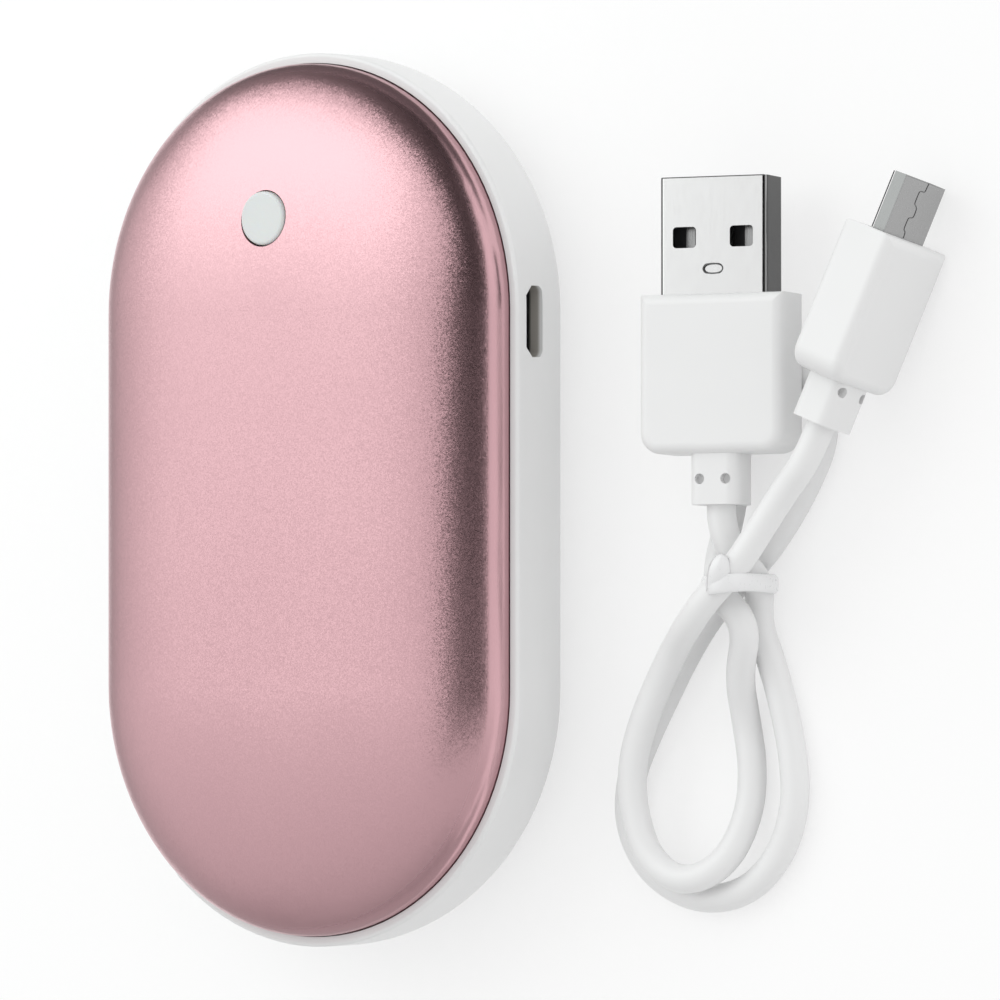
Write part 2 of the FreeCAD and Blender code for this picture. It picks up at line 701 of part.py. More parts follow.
# Circuit board with the switch under the button and the socket behind the slot
board_outline = new_body("board_outline_body")
board_sketch = sketch_on(board_outline, "board_outline", "XY_Plane", z=BOARD_BOTTOM)
stadium(board_sketch, BOARD_HALF, STRAIGHT)
grow(board_outline, "Pad", "board_pad", board_sketch, "board_thickness")
board_half = block("board_half", "body_width", "body_length", "board_thickness + 2",
                   "0", BOARD_START + " + body_length / 2", BOARD_BOTTOM + " - 1")
board_blank = common("board_blank", board_outline, board_half)
board_bores = group("board_bores", [
    rod("board_bore_" + where, "screw_radius + screw_clearance", "board_thickness + 2",
        x, y, BOARD_BOTTOM + " - 1")
    for where, x, y in BOSSES])
node(cut("circuit_board_cut", board_blank, board_bores), "circuit_board")
screws = []
for where, x, y in BOSSES:
    shank = rod("screw_shank_" + where, "screw_radius", SCREW_LENGTH, x, y, BOARD_TOP + " - " + SCREW_LENGTH)
    head = rod("screw_head_" + where, "screw_head_radius", "screw_head_height", x, y, BOARD_TOP)
    screws.append(join("screw_" + where, [shank, head]))
node(group("board_screws_group", screws), "board_screws")

SOCKET_MOUTH = "(%s - housing_wall - socket_setback)" % HALF
SOCKET_MIDDLE = "(%s - socket_depth / 2)" % SOCKET_MOUTH
socket_outer = block("socket_outer", "socket_depth", "socket_width", "socket_height",
                     SOCKET_MIDDLE, PORT_Y, BOARD_TOP)
socket_inner = block("socket_inner", "socket_depth", "socket_width - 2 * socket_wall",
                     "socket_height - 2 * socket_wall", SOCKET_MIDDLE + " + socket_wall", PORT_Y,
                     BOARD_TOP + " + socket_wall")
node(cut("socket_shell_cut", socket_outer, socket_inner), "port_shell")
tongue_base = block("socket_base", "1", "socket_width - 2 * socket_wall - 0.1",
                    "socket_height - 2 * socket_wall - 0.1",
                    SOCKET_MOUTH + " - socket_depth + socket_wall + 0.5",
                    PORT_Y, BOARD_TOP + " + socket_wall + 0.05")
tongue_bar = block("socket_tongue_bar", "socket_depth - socket_wall - 0.8", "socket_tongue_width",
                   "socket_tongue_height", SOCKET_MOUTH + " - 0.4 - (socket_depth - socket_wall - 0.8) / 2",
                   PORT_Y, PORT_Z + " + 0.1")
node(join("socket_tongue_join", [tongue_base, tongue_bar]), "port_tongue")
contacts = []
for i in range(5):
    contacts.append(block(
        "socket_contact_%d" % i, "socket_depth - socket_wall - 2.4", "socket_contact_width",
        "socket_contact_height", SOCKET_MOUTH + " - 0.6 - (socket_depth - socket_wall - 2.4) / 2",
        "%s + %d * socket_contact_pitch" % (PORT_Y, i - 2), PORT_Z + " + 0.1 - socket_contact_height"))
node(group("socket_contacts_group", contacts), "port_contacts")

switch_block = block("switch_block", "switch_side", "switch_side", "switch_height",
                     "0", BUTTON_Y, BOARD_TOP)
switch_well = rod("switch_well", "plunger_radius + plunger_clearance", "switch_height",
                  "0", BUTTON_Y, BOARD_TOP + " + 1")
node(cut("switch_base_cut", switch_block, switch_well), "switch_base")
cover_plate = block("cover_plate", "switch_side - 0.4", "switch_side - 0.4", "switch_cover",
                    "0", BUTTON_Y, BOARD_TOP + " + switch_height")
cover_hole = rod("cover_hole", "plunger_radius + plunger_clearance", "switch_cover + 2",
                 "0", BUTTON_Y, BOARD_TOP + " + switch_height - 1")
node(cut("switch_cover_cut", cover_plate, cover_hole), "switch_cover")
node(rod("plunger_rod", "plunger_radius", "plunger_height - 1 - button_travel - 0.2",
         "0", BUTTON_Y, BOARD_TOP + " + 1 + button_travel + 0.2"), "switch_plunger")


def on_board(name, kind, columns, rows, y=BUTTON_Y):
    """A part on the board, placed in steps of the board's grid from the switch."""
    spot_x = "%d * board_grid" % columns
    spot_y = "%s + %d * board_grid" % (y, rows)
    return block(name, kind + "_length", kind + "_width", kind + "_height", spot_x, spot_y, BOARD_TOP)


node(on_board("control_chip_block", "chip", -18, -8), "control_chip")
node(on_board("charger_chip_block", "chip", 26, 0, PORT_Y), "charger_chip")
node(on_board("inductor_block", "inductor", 22, -7), "power_inductor")
node(on_board("transistor_block", "transistor", -6, -15), "heater_transistor")
CAPACITOR_SPOTS = [(7, -10), (12, -10), (12, 8), (-27, 0), (-32, -9), (26, -15)]
node(group("capacitors_group", [
    on_board("capacitor_%d" % i, "capacitor", columns, rows)
    for i, (columns, rows) in enumerate(CAPACITOR_SPOTS)]), "chip_capacitors")
RESISTOR_SPOTS = [(-18, -17), (-18, -1), (-13, 13), (13, 13), (7, -16), (16, -16)]
node(group("resistors_group", [
    on_board("resistor_%d" % i, "resistor", columns, rows)
    for i, (columns, rows) in enumerate(RESISTOR_SPOTS)]), "chip_resistors")
LAMP_SIDES = [("1", "1"), ("1", "-1"), ("-1", "1"), ("-1", "-1")]
node(group("lamps_group", [
    block("lamp_%d" % i, "lamp_length", "lamp_width", "lamp_height",
          "%s * (switch_side / 2 + lamp_length)" % side, "%s + %s * lamp_offset" % (BUTTON_Y, row), BOARD_TOP)
    for i, (side, row) in enumerate(LAMP_SIDES)]), "indicator_lamps")

# Cell pack on its foam cushion, with tabs and a guard board at its end
cell_body = new_body("cell_body")
cell_sketch = sketch_on(cell_body, "cell_outline", "XY_Plane", y=CELL_MIDDLE, z=CELL_BOTTOM)
rectangle(cell_sketch, CELL_WIDTH, CELL_LENGTH)
grow(cell_body, "Pad", "cell_pad", cell_sketch, CELL_HEIGHT)
fillet(cell_body, "cell_rounding", "cell_edge_radius", lambda edge: runs_along(edge, Vector(0, 1, 0)))
node(cell_body, "battery_cell")
node(block("cushion_block", CELL_WIDTH + " - 2 * cushion_margin", CELL_LENGTH + " - 2 * cushion_margin",
           "cushion_thickness", "0", CELL_MIDDLE, FLOOR), "cell_cushion")
node(block("insulation_block", CELL_WIDTH + " - 2 * cell_edge_radius - 0.4", CELL_LENGTH,
           "insulation_thickness", "0", CELL_MIDDLE, CELL_TOP), "insulation_pad")
GUARD_BOTTOM = "(%s + guard_board_margin)" % CELL_BOTTOM
GUARD_HEIGHT = "(%s + guard_board_rise - %s)" % (BOARD_TOP, GUARD_BOTTOM)
node(group("tabs_group", [
    block("tab_" + side, "tab_width", "tab_thickness", GUARD_HEIGHT + " - 2 * tab_inset",
          sign + "tab_apart / 2", CELL_END + " + tab_thickness / 2", GUARD_BOTTOM + " + tab_inset")
    for side, sign in (("left", "-"), ("right", ""))]), "cell_tabs")
node(block("guard_board_block", "guard_board_width", "guard_board_thickness", GUARD_HEIGHT, "0",
           CELL_END + " + tab_thickness + guard_board_thickness / 2", GUARD_BOTTOM), "guard_board")


# Heater: adhesive, film and foil trace, one below the other against the shell's crown
def crown_layer(name, depth, thickness):
    """A curved sheet that lies at a depth below the crown's inner face."""
    body = new_body(name + "_body")
    outer = sketch_on(body, name + "_outer", "XZ_Plane", y=DOME_BASE)
    crown(outer, "%s - shell_wall - (%s)" % (SHELL_HALF, depth),
          "%s - shell_wall - (%s)" % (DOME_RISE, depth))
    grow(body, "Pad", name + "_pad", outer, HEATER_LENGTH, both=True)
    inner = sketch_on(body, name + "_inner", "XZ_Plane", y=DOME_BASE)
    crown(inner, "%s - shell_wall - (%s) - (%s)" % (SHELL_HALF, depth, thickness),
          "%s - shell_wall - (%s) - (%s)" % (DOME_RISE, depth, thickness))
    grow(body, "Pocket", name + "_cut", inner, HEATER_LENGTH, both=True)
    span = block(name + "_span", "2 * " + HEATER_HALF, HEATER_LENGTH + " + 2", "shell_rise + 2",
                 "0", "0", DOME_BASE)
    return common(name + "_sheet", body, span)


FILM_DEPTH = "bond_gap + adhesive_thickness"
TRACE_DEPTH = "bond_gap + adhesive_thickness + film_thickness"
SENSOR_TOP = "(%s + %s - shell_wall - (%s) - trace_thickness - bond_gap)" % (
    DOME_BASE, DOME_RISE, TRACE_DEPTH)
node(crown_layer("adhesive", "bond_gap", "adhesive_thickness"), "heat_adhesive")
node(crown_layer("film", FILM_DEPTH, "film_thickness"), "heater_film")
trace_layer = crown_layer("trace", TRACE_DEPTH, "trace_thickness")
run_half = number(HEATER_HALF + " - trace_margin")
end_half = number(HEATER_LENGTH + " / 2 - trace_margin")
runs = int((2 * end_half - size["trace_width"]) // size["trace_pitch"])
start_y = -runs * size["trace_pitch"] / 2
low_z = number(DOME_BASE)
strips = []
for i in range(runs + 1):
    y = start_y + i * size["trace_pitch"] - size["trace_width"] / 2
    corner = Vector(-run_half, y, low_z)
    strips.append(Part.makeBox(2 * run_half, size["trace_width"], size["shell_rise"], corner))
for i in range(runs):
    x = run_half - size["trace_width"] if i % 2 == 0 else -run_half
    y = start_y + i * size["trace_pitch"] - size["trace_width"] / 2
    tall = size["trace_pitch"] + size["trace_width"]
    strips.append(Part.makeBox(size["trace_width"], tall, size["shell_rise"], Vector(x, y, low_z)))
pattern = doc.addObject("Part::Feature", "trace_pattern")
pattern.Shape = strips[0].multiFuse(strips[1:]).removeSplitter()
node(common("trace_common", trace_layer, pattern), "heater_trace")
node(block("sensor_block", "sensor_width", "sensor_length", "sensor_height", "0", SENSOR_Y,
           SENSOR_TOP + " - sensor_height"), "thermistor")


def tube(name, points, diameter, report=False):
    """A round tube along straight runs joined by the largest tangent arcs that fit."""
    edges = []
    radii = []
    spots = [points[0]]
    here = points[0]
    for before, corner, after in zip(points, points[1:], points[2:]):
        to_before = before - corner
        to_after = after - corner
        reach = 0.45 * min(to_before.Length, to_after.Length)
        turn = math.pi - to_before.getAngle(to_after)
        radius = reach / math.tan(turn / 2)
        radii.append(radius)
        first = corner + to_before.normalize() * reach
        last = corner + to_after.normalize() * reach
        inward = (to_before + to_after).normalize()
        middle = corner + inward * (math.hypot(reach, radius) - radius)
        edges.append(Part.LineSegment(here, first).toShape())
        edges.append(Part.Arc(first, middle, last).toShape())
        here = last
    edges.append(Part.LineSegment(here, points[-1]).toShape())
    path = Part.Wire(edges)
    way = points[1] - points[0]
    ring = Part.Wire([Part.Circle(points[0], way, diameter / 2).toShape()])
    solid = path.makePipeShell([ring], True, False)
    thing = doc.addObject("Part::Feature", name)
    thing.Shape = solid
    if report:
        section = math.pi * diameter ** 2 / 4
        print("%s: length %.1f mm, smallest radius %.2f mm, largest %.1f mm, volume ratio %.4f" % (
            name, path.Length, min(radii), max(radii), solid.Volume / (section * path.Length)))
        along = path.discretize(Distance=0.5)
        gap = min(
            (p - q).Length
            for i, p in enumerate(along)
            for q in along[i + 24:]) - diameter
        print("%s: least gap to itself %.2f mm" % (name, gap))
    return thing


wire = size["lead_diameter"]
board_top = number(BOARD_TOP) + size["lead_end_gap"]
guard_face = number(CELL_END + " + tab_thickness + guard_board_thickness")
lead_high = number(BOARD_TOP + " + battery_lead_rise")
for row, colour in enumerate(("red", "black")):
    x = -size["battery_lead_side"] - row * size["battery_lead_pitch"]
    route = [
        Vector(x, guard_face + size["lead_end_gap"], lead_high),
        Vector(x, guard_face + 1.5 * wire, lead_high),
        Vector(x, guard_face + 3.2 * wire, lead_high + 0.9 * wire),
        Vector(x, guard_face + 5.2 * wire, lead_high + 0.6 * wire),
        Vector(x, guard_face + 5.2 * wire, board_top),
    ]
    node(tube("battery_lead_%s_tube" % colour, route, wire), "battery_lead_" + colour)
HEATER_UNDER = "(shell_wall + %s + trace_thickness)" % TRACE_DEPTH
film_low = number("%s + (%s - %s) * sqrt(1 - pow((heater_lead_side - crown_flat) / (%s - %s); 2))" % (
    DOME_BASE, DOME_RISE, HEATER_UNDER, DOME_RUN, HEATER_UNDER))
film_end = number(HEATER_LENGTH + " / 2")
lead_high = film_low - wire / 2 - 2 * size["bond_gap"]
leads = []
for side in (-1, 1):
    x = side * size["heater_lead_side"]
    route = [
        Vector(x, film_end - 2.5 * wire, lead_high),
        Vector(x, film_end + 0.3 * wire, lead_high),
        Vector(x, film_end + 2.8 * wire, lead_high - 2.0 * wire),
        Vector(x, film_end + 2.4 * wire, lead_high - 6.0 * wire),
        Vector(x, film_end + 2.4 * wire, board_top),
    ]
    leads.append(tube("heater_lead_%d" % side, route, wire))
node(group("heater_leads_group", leads), "heater_leads")
thin = size["sensor_lead_diameter"]
sensor_end = number(SENSOR_Y + " + sensor_length / 2")
sensor_z = number(SENSOR_TOP + " - sensor_height / 2")
leads = []
for side in (-1, 1):
    x = side * size["sensor_lead_side"]
    route = [
        Vector(x, sensor_end + size["lead_end_gap"], sensor_z),
        Vector(x, sensor_end + 6 * thin, sensor_z),
        Vector(x, sensor_end + 12 * thin, sensor_z - 3 * thin),
        Vector(x, sensor_end + 16 * thin, sensor_z - 9 * thin),
        Vector(x, sensor_end + 16 * thin, board_top),
    ]
    leads.append(tube("sensor_lead_%d" % side, route, thin))
node(group("sensor_leads_group", leads), "thermistor_leads")


# Charging lead: each plug is drawn with its cord end at the origin and its tip along +Y
def plug_place(prefix, yaw, roll, tilt):
    turn = FreeCAD.Rotation(Vector(0, 0, 1), yaw)
    turn = turn * FreeCAD.Rotation(Vector(1, 0, 0), tilt)
    turn = turn * FreeCAD.Rotation(Vector(0, 1, 0), roll)
    spot = Vector(size[prefix + "_exit_x"], size[prefix + "_exit_y"], size[prefix + "_exit_z"])
    return FreeCAD.Placement(spot, turn)


def moulding(prefix):
    """The soft body of a plug, with its neck and the well for the metal shell."""
    body = new_body(prefix + "_moulding")
    root = "%s_shell_root" % prefix
    front = "(%s_neck_length + %s_body_length)" % (prefix, prefix)
    neck_length = size[prefix + "_neck_length"]
    front_at = number(front)
    half_high = size[prefix + "_body_height"] / 2
    neck = sketch_on(body, prefix + "_neck_outline", "XZ_Plane")
    rectangle(neck, prefix + "_neck_width", prefix + "_neck_height")
    grow(body, "Pad", prefix + "_neck_pad", neck, prefix + "_neck_length + 1", back=True)
    fillet(body, prefix + "_neck_rounding", "neck_edge", lambda edge: runs_along(edge, Vector(0, 1, 0)))
    grip = sketch_on(body, prefix + "_grip_outline", "XZ_Plane", z="-%s_neck_length" % prefix)
    rectangle(grip, prefix + "_body_width", prefix + "_body_height")
    grow(body, "Pad", prefix + "_grip_pad", grip, prefix + "_body_length", back=True)

    def upright_at_back(edge):
        near = abs(edge.BoundBox.Center.y - neck_length) < 1e-3
        wide = abs(edge.BoundBox.Center.x) > size[prefix + "_body_width"] / 2 - 1e-3
        return near and wide and runs_along(edge, Vector(0, 0, 1))

    def around_faces(edge):
        return level(edge, half_high) or level(edge, -half_high)

    fillet(body, prefix + "_corner_rounding", prefix + "_body_corner", upright_at_back)
    fillet(body, prefix + "_edge_rounding", prefix + "_body_edge", around_faces)
    well = sketch_on(body, prefix + "_well_outline", "XZ_Plane", z="-" + front)
    rectangle(well, prefix + "_shell_width", prefix + "_shell_height")
    grow(body, "Pocket", prefix + "_well", well, root, back=True)
    for side, sign in (("left", "-"), ("right", "")):
        hole = sketch_on(body, prefix + "_neck_hole_outline_" + side, "XY_Plane",
                         x=sign + prefix + "_hole_apart / 2", y=prefix + "_hole_place",
                         z=prefix + "_neck_height / 2")
        circle(hole, "neck_hole_radius")
        grow(body, "Pocket", prefix + "_neck_hole_" + side, hole, "neck_hole_depth")
    return body, front, front_at


usb_place = plug_place("usb", size["usb_yaw"], size["usb_roll"], size["usb_tilt"])
usb_body, USB_FRONT, usb_front = moulding("usb")
node(usb_body, "usb_plug_body")
usb_shell = new_body("usb_shell_body")
USB_ROOT_Y = "(%s - usb_shell_root)" % USB_FRONT
USB_TIP = "(%s + usb_shell_length)" % USB_FRONT
shell_outline = sketch_on(usb_shell, "usb_shell_outline", "XZ_Plane", z="-" + USB_ROOT_Y)
rectangle(shell_outline, "usb_shell_width", "usb_shell_height")
grow(usb_shell, "Pad", "usb_shell_pad", shell_outline, "usb_shell_length + usb_shell_root", back=True)
fillet(usb_shell, "usb_shell_rounding", "usb_shell_corner", lambda edge: runs_along(edge, Vector(0, 1, 0)))
shell_inside = sketch_on(usb_shell, "usb_shell_inside", "XZ_Plane", z="-" + USB_ROOT_Y)
rectangle(shell_inside, "usb_shell_width - 2 * usb_shell_wall", "usb_shell_height - 2 * usb_shell_wall")
grow(usb_shell, "Pocket", "usb_shell_hollow", shell_inside, "usb_shell_length + usb_shell_root", back=False)
for side, sign in (("left", "-"), ("right", "")):
    for face, top, flip in (("top", "usb_shell_height / 2", False), ("under", "-usb_shell_height / 2", True)):
        window = sketch_on(usb_shell, "usb_window_%s_%s" % (side, face), "XY_Plane",
                           x=sign + "usb_window_apart / 2", y=USB_FRONT + " + usb_window_place", z=top)
        rectangle(window, "usb_window_width", "usb_window_length")
        grow(usb_shell, "Pocket", "usb_window_cut_%s_%s" % (side, face), window, "2 * usb_shell_wall",
             back=flip)
dimple = sketch_on(usb_shell, "usb_dimple_outline", "XY_Plane", y=USB_FRONT + " + usb_dimple_place",
                   z="usb_shell_height / 2")
stadium(dimple, "usb_dimple_length / 2", "(usb_dimple_width - usb_dimple_length) / 2", along_x=True)
grow(usb_shell, "Pocket", "usb_dimple_cut", dimple, "usb_dimple_depth")


def window_corner(edge):
    spot = edge.BoundBox.Center
    across = abs(abs(abs(spot.x) - size["usb_window_apart"] / 2) - size["usb_window_width"] / 2) < 1e-3
    along = abs(abs(spot.y - usb_front - size["usb_window_place"]) - size["usb_window_length"] / 2) < 1e-3
    return across and along and runs_along(edge, Vector(0, 0, 1))


fillet(usb_shell, "usb_window_rounding", "usb_window_corner", window_corner)
node(usb_shell, "usb_plug_shell")

SHELL_PLAY = "0.05"
USB_TONGUE_LOW = "(-usb_shell_height / 2 + usb_shell_wall + %s)" % SHELL_PLAY
USB_TONGUE_TOP = "(%s + usb_tongue_height)" % USB_TONGUE_LOW
usb_tongue_bar = block(
    "usb_tongue_bar", "usb_shell_width - 2 * usb_shell_wall - 2 * %s" % SHELL_PLAY,
    "usb_shell_length + usb_shell_root - usb_tongue_setback", "usb_tongue_height", "0",
    "%s + (usb_shell_length + usb_shell_root - usb_tongue_setback) / 2" % USB_ROOT_Y, USB_TONGUE_LOW)
usb_tongue_base = block(
    "usb_tongue_base", "usb_shell_width - 2 * usb_shell_wall - 2 * %s" % SHELL_PLAY,
    "usb_shell_root", "usb_shell_height - 2 * usb_shell_wall - 2 * %s" % SHELL_PLAY, "0",
    USB_ROOT_Y + " + usb_shell_root / 2", USB_TONGUE_LOW)
node(join("usb_tongue_join", [usb_tongue_bar, usb_tongue_base]), "usb_plug_tongue")
usb_strips = []
for i in range(4):
    usb_strips.append(block(
        "usb_strip_%d" % i, "usb_contact_width", "usb_contact_length", "usb_contact_height",
        "%s * usb_contact_pitch" % (i - 1.5), USB_TIP + " - usb_tongue_setback - 1 - usb_contact_length / 2",
        USB_TONGUE_TOP))
node(group("usb_contacts_group", usb_strips), "usb_plug_contacts")

micro_place = plug_place("micro", size["micro_yaw"], size["micro_roll"], size["micro_tilt"])
micro_body, MICRO_FRONT, micro_front = moulding("micro")
node(micro_body, "micro_plug_body")
micro_shell = new_body("micro_shell_body")
MICRO_ROOT_Y = "(%s - micro_shell_root)" % MICRO_FRONT
MICRO_TIP = "(%s + micro_shell_length)" % MICRO_FRONT
MICRO_INNER = "(micro_shell_width - 2 * micro_shell_wall - micro_shell_bevel)"
micro_outline = sketch_on(micro_shell, "micro_shell_outline", "XZ_Plane", z="-" + MICRO_ROOT_Y)
rectangle(micro_outline, "micro_shell_width", "micro_shell_height")
grow(micro_shell, "Pad", "micro_shell_pad", micro_outline, "micro_shell_length + micro_shell_root", back=True)


def lower_long_edge(edge):
    return runs_along(edge, Vector(0, 1, 0)) and edge.BoundBox.Center.z < 0


chamfer(micro_shell, "micro_shell_bevelling", "micro_shell_bevel", lower_long_edge)
micro_inside = sketch_on(micro_shell, "micro_shell_inside", "XZ_Plane", z="-" + MICRO_ROOT_Y)
rectangle(micro_inside, MICRO_INNER, "micro_shell_height - 2 * micro_shell_wall")
grow(micro_shell, "Pocket", "micro_shell_hollow", micro_inside, "micro_shell_length + micro_shell_root")
LATCH_Y = MICRO_FRONT + " + latch_place"
for side, sign in (("left", "-"), ("right", "")):
    window = sketch_on(micro_shell, "latch_window_" + side, "XY_Plane", x=sign + "latch_apart / 2", y=LATCH_Y,
                       z="-micro_shell_height / 2")
    rectangle(window, "latch_width + 0.3", "latch_length + 0.3")
    grow(micro_shell, "Pocket", "latch_window_cut_" + side, window, "1.5 * micro_shell_wall", back=True)
node(micro_shell, "micro_plug_shell")
MICRO_ROOF = "(micro_shell_height / 2 - micro_shell_wall - 0.03)"
MICRO_BAR_LENGTH = "(micro_shell_length + micro_shell_root - 0.4)"
MICRO_BASE_LENGTH = "(micro_shell_root - 0.2)"
micro_bar = block(
    "micro_tongue_bar", "micro_tongue_width", MICRO_BAR_LENGTH, "micro_tongue_height",
    "0", "%s + %s / 2" % (MICRO_ROOT_Y, MICRO_BAR_LENGTH), MICRO_ROOF + " - micro_tongue_height")
micro_base = block(
    "micro_tongue_base", "micro_tongue_width", MICRO_BASE_LENGTH,
    "micro_shell_height - 2 * micro_shell_wall - 0.3", "0",
    "%s + %s / 2" % (MICRO_ROOT_Y, MICRO_BASE_LENGTH),
    "-micro_shell_height / 2 + micro_shell_wall + 0.27")
node(join("micro_tongue_join", [micro_bar, micro_base]), "micro_plug_tongue")
micro_strips = []
for i in range(5):
    micro_strips.append(block(
        "micro_strip_%d" % i, "micro_contact_width", "micro_contact_length", "micro_contact_height",
        "%d * micro_contact_pitch" % (i - 2), MICRO_TIP + " - 0.8 - micro_contact_length / 2",
        MICRO_ROOF + " - micro_tongue_height - micro_contact_height"))
node(group("micro_contacts_group", micro_strips), "micro_plug_contacts")
LATCH_ARM_LENGTH = "(latch_place + latch_length / 2 + micro_shell_root - 0.4)"
latches = []
for side, sign in (("left", "-"), ("right", "")):
    hook = block(
        "latch_hook_" + side, "latch_width", "latch_length", "latch_height + micro_shell_wall + 0.15",
        sign + "latch_apart / 2", LATCH_Y, "-micro_shell_height / 2 - latch_height")
    arm = block(
        "latch_arm_" + side, "latch_width", LATCH_ARM_LENGTH, "latch_arm_thickness",
        sign + "latch_apart / 2", "%s + latch_length / 2 - %s / 2" % (LATCH_Y, LATCH_ARM_LENGTH),
        "-micro_shell_height / 2 + micro_shell_wall + 0.03")
    latches.append(join("latch_" + side, [hook, arm]))
node(group("latches_group", latches), "micro_plug_latches")

for label, thing in nodes.items():
    if label.startswith("usb_plug_"):
        thing.Placement = usb_place
    if label.startswith("micro_plug_"):
        thing.Placement = micro_place

# The cord: two loops and a bight under the plugs, one unbroken run from plug to plug
CORD_ROUTE = [
    (50.14, -0.76, 8.12),
    (50.14, -4.58, 8.12),
    (51.68, -8.68, 6.20),
    (51.93, -12.74, 3.25),
    (52.27, -17.34, 1.75),
    (53.34, -22.11, 1.55),
    (54.33, -26.90, 1.55),
    (54.43, -31.78, 1.55),
    (52.95, -36.41, 1.55),
    (49.66, -39.97, 1.55),
    (45.10, -41.62, 1.55),
    (40.26, -41.17, 1.55),
    (36.09, -38.73, 1.56),
    (34.01, -34.38, 1.63),
    (34.29, -29.53, 1.63),
    (36.11, -24.99, 1.62),
    (38.25, -20.59, 1.73),
    (40.68, -16.36, 1.93),
    (43.71, -12.53, 2.25),
    (47.17, -9.13, 2.66),
    (50.83, -5.99, 2.44),
    (53.95, -2.26, 1.82),
    (56.80, 1.70, 1.66),
    (58.57, 6.24, 1.56),
    (57.97, 11.00, 1.55),
    (54.18, 13.82, 1.55),
    (49.64, 12.51, 1.55),
    (47.44, 8.23, 1.62),
    (47.34, 3.37, 1.98),
    (47.69, -1.40, 2.94),
    (47.03, -5.54, 5.41),
    (47.81, -9.97, 6.60),
    (47.94, -13.95, 3.90),
    (47.82, -18.32, 1.84),
    (48.24, -23.18, 1.55),
    (48.83, -28.04, 1.58),
    (48.69, -32.87, 2.19),
    (46.86, -37.13, 3.56),
    (42.75, -39.12, 4.82),
    (38.46, -37.10, 4.93),
    (36.19, -32.83, 5.19),
    (35.82, -28.00, 5.62),
    (37.15, -23.31, 5.77),
    (39.53, -19.04, 5.97),
    (42.59, -15.38, 6.90),
    (46.08, -12.93, 9.25),
    (49.81, -10.22, 10.50),
    (53.28, -6.81, 10.56),
    (55.66, -2.75, 9.10),
    (58.66, 1.09, 9.07),
    (61.99, 4.63, 9.50),
    (63.22, 8.21, 8.98),
]
route = [Vector(*point) for point in CORD_ROUTE]
usb_way = usb_place.Rotation.multVec(Vector(0, -1, 0))
micro_way = micro_place.Rotation.multVec(Vector(0, -1, 0))
route[0] = usb_place.Base
route[1] = usb_place.Base + usb_way * 4.0
route[-1] = micro_place.Base
route[-2] = micro_place.Base + micro_way * 4.0
node(tube("charging_cord_tube", route, size["cord_diameter"], report=True), "charging_cord")

tie = new_body("cord_tie_body")
tie_outer = sketch_on(tie, "tie_outer_outline", "XZ_Plane")
stadium(tie_outer, "tie_end_radius + tie_thickness", "tie_half_straight", along_x=True)
grow(tie, "Pad", "tie_pad", tie_outer, "tie_width", both=True)
tie_inner = sketch_on(tie, "tie_inner_outline", "XZ_Plane")
stadium(tie_inner, "tie_end_radius", "tie_half_straight", along_x=True)
grow(tie, "Pocket", "tie_hollow", tie_inner, "tie_width + 2", both=True)
tie.Placement = FreeCAD.Placement(
    Vector(size["tie_x"], size["tie_y"], size["tie_z"]),
    FreeCAD.Rotation(Vector(0, 1, 0), -size["tie_lean"]))
node(tie, "cord_tie")

doc.recompute()
doc.removeObject("scratch_cells")
for thing in doc.Objects:
    if "Invalid" in thing.State or "Error" in thing.State:
        raise RuntimeError("%s did not compute: %s" % (thing.Label, thing.State))
for label, thing in nodes.items():
    if thing.Shape.isNull() or not thing.Shape.isValid() or not thing.Shape.Solids:
        raise RuntimeError("%s has no valid solid" % label)

os.makedirs("parts", exist_ok=True)
for label, thing in nodes.items():
    thing.Shape.exportStep("parts/%s.step" % label)
print("%d pieces written" % len(nodes))
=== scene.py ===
import json
import math

import bmesh
import bpy
from mathutils import Matrix, Quaternion, Vector


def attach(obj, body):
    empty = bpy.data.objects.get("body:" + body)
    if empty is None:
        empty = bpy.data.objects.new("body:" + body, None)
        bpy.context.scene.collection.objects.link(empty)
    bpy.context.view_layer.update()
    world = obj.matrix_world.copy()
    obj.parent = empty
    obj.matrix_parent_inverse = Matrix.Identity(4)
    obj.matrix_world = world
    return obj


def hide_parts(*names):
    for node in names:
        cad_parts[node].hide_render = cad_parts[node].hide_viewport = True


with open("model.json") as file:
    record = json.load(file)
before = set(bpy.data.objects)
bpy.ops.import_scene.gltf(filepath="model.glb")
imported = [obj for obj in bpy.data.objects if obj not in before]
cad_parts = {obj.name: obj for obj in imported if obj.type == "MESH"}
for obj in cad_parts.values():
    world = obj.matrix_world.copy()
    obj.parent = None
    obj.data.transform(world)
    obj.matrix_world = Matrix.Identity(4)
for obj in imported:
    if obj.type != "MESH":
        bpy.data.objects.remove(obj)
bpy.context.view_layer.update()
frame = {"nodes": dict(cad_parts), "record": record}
nodes = frame["nodes"]

MM = 0.001


def add(name, data):
    """A new object in the scene."""
    piece = bpy.data.objects.new(name, data)
    bpy.context.collection.objects.link(piece)
    return piece


# Camera: nearly parallel view, tipped from straight above towards +X, with +Y up in the picture.
VIEW_TILT = math.radians(37.7)
VIEW_DISTANCE = 955 * MM
VIEW_LENS = 318.0
VIEW_SENSOR = 36.0
VIEW_ASIDE = 11.9 * MM

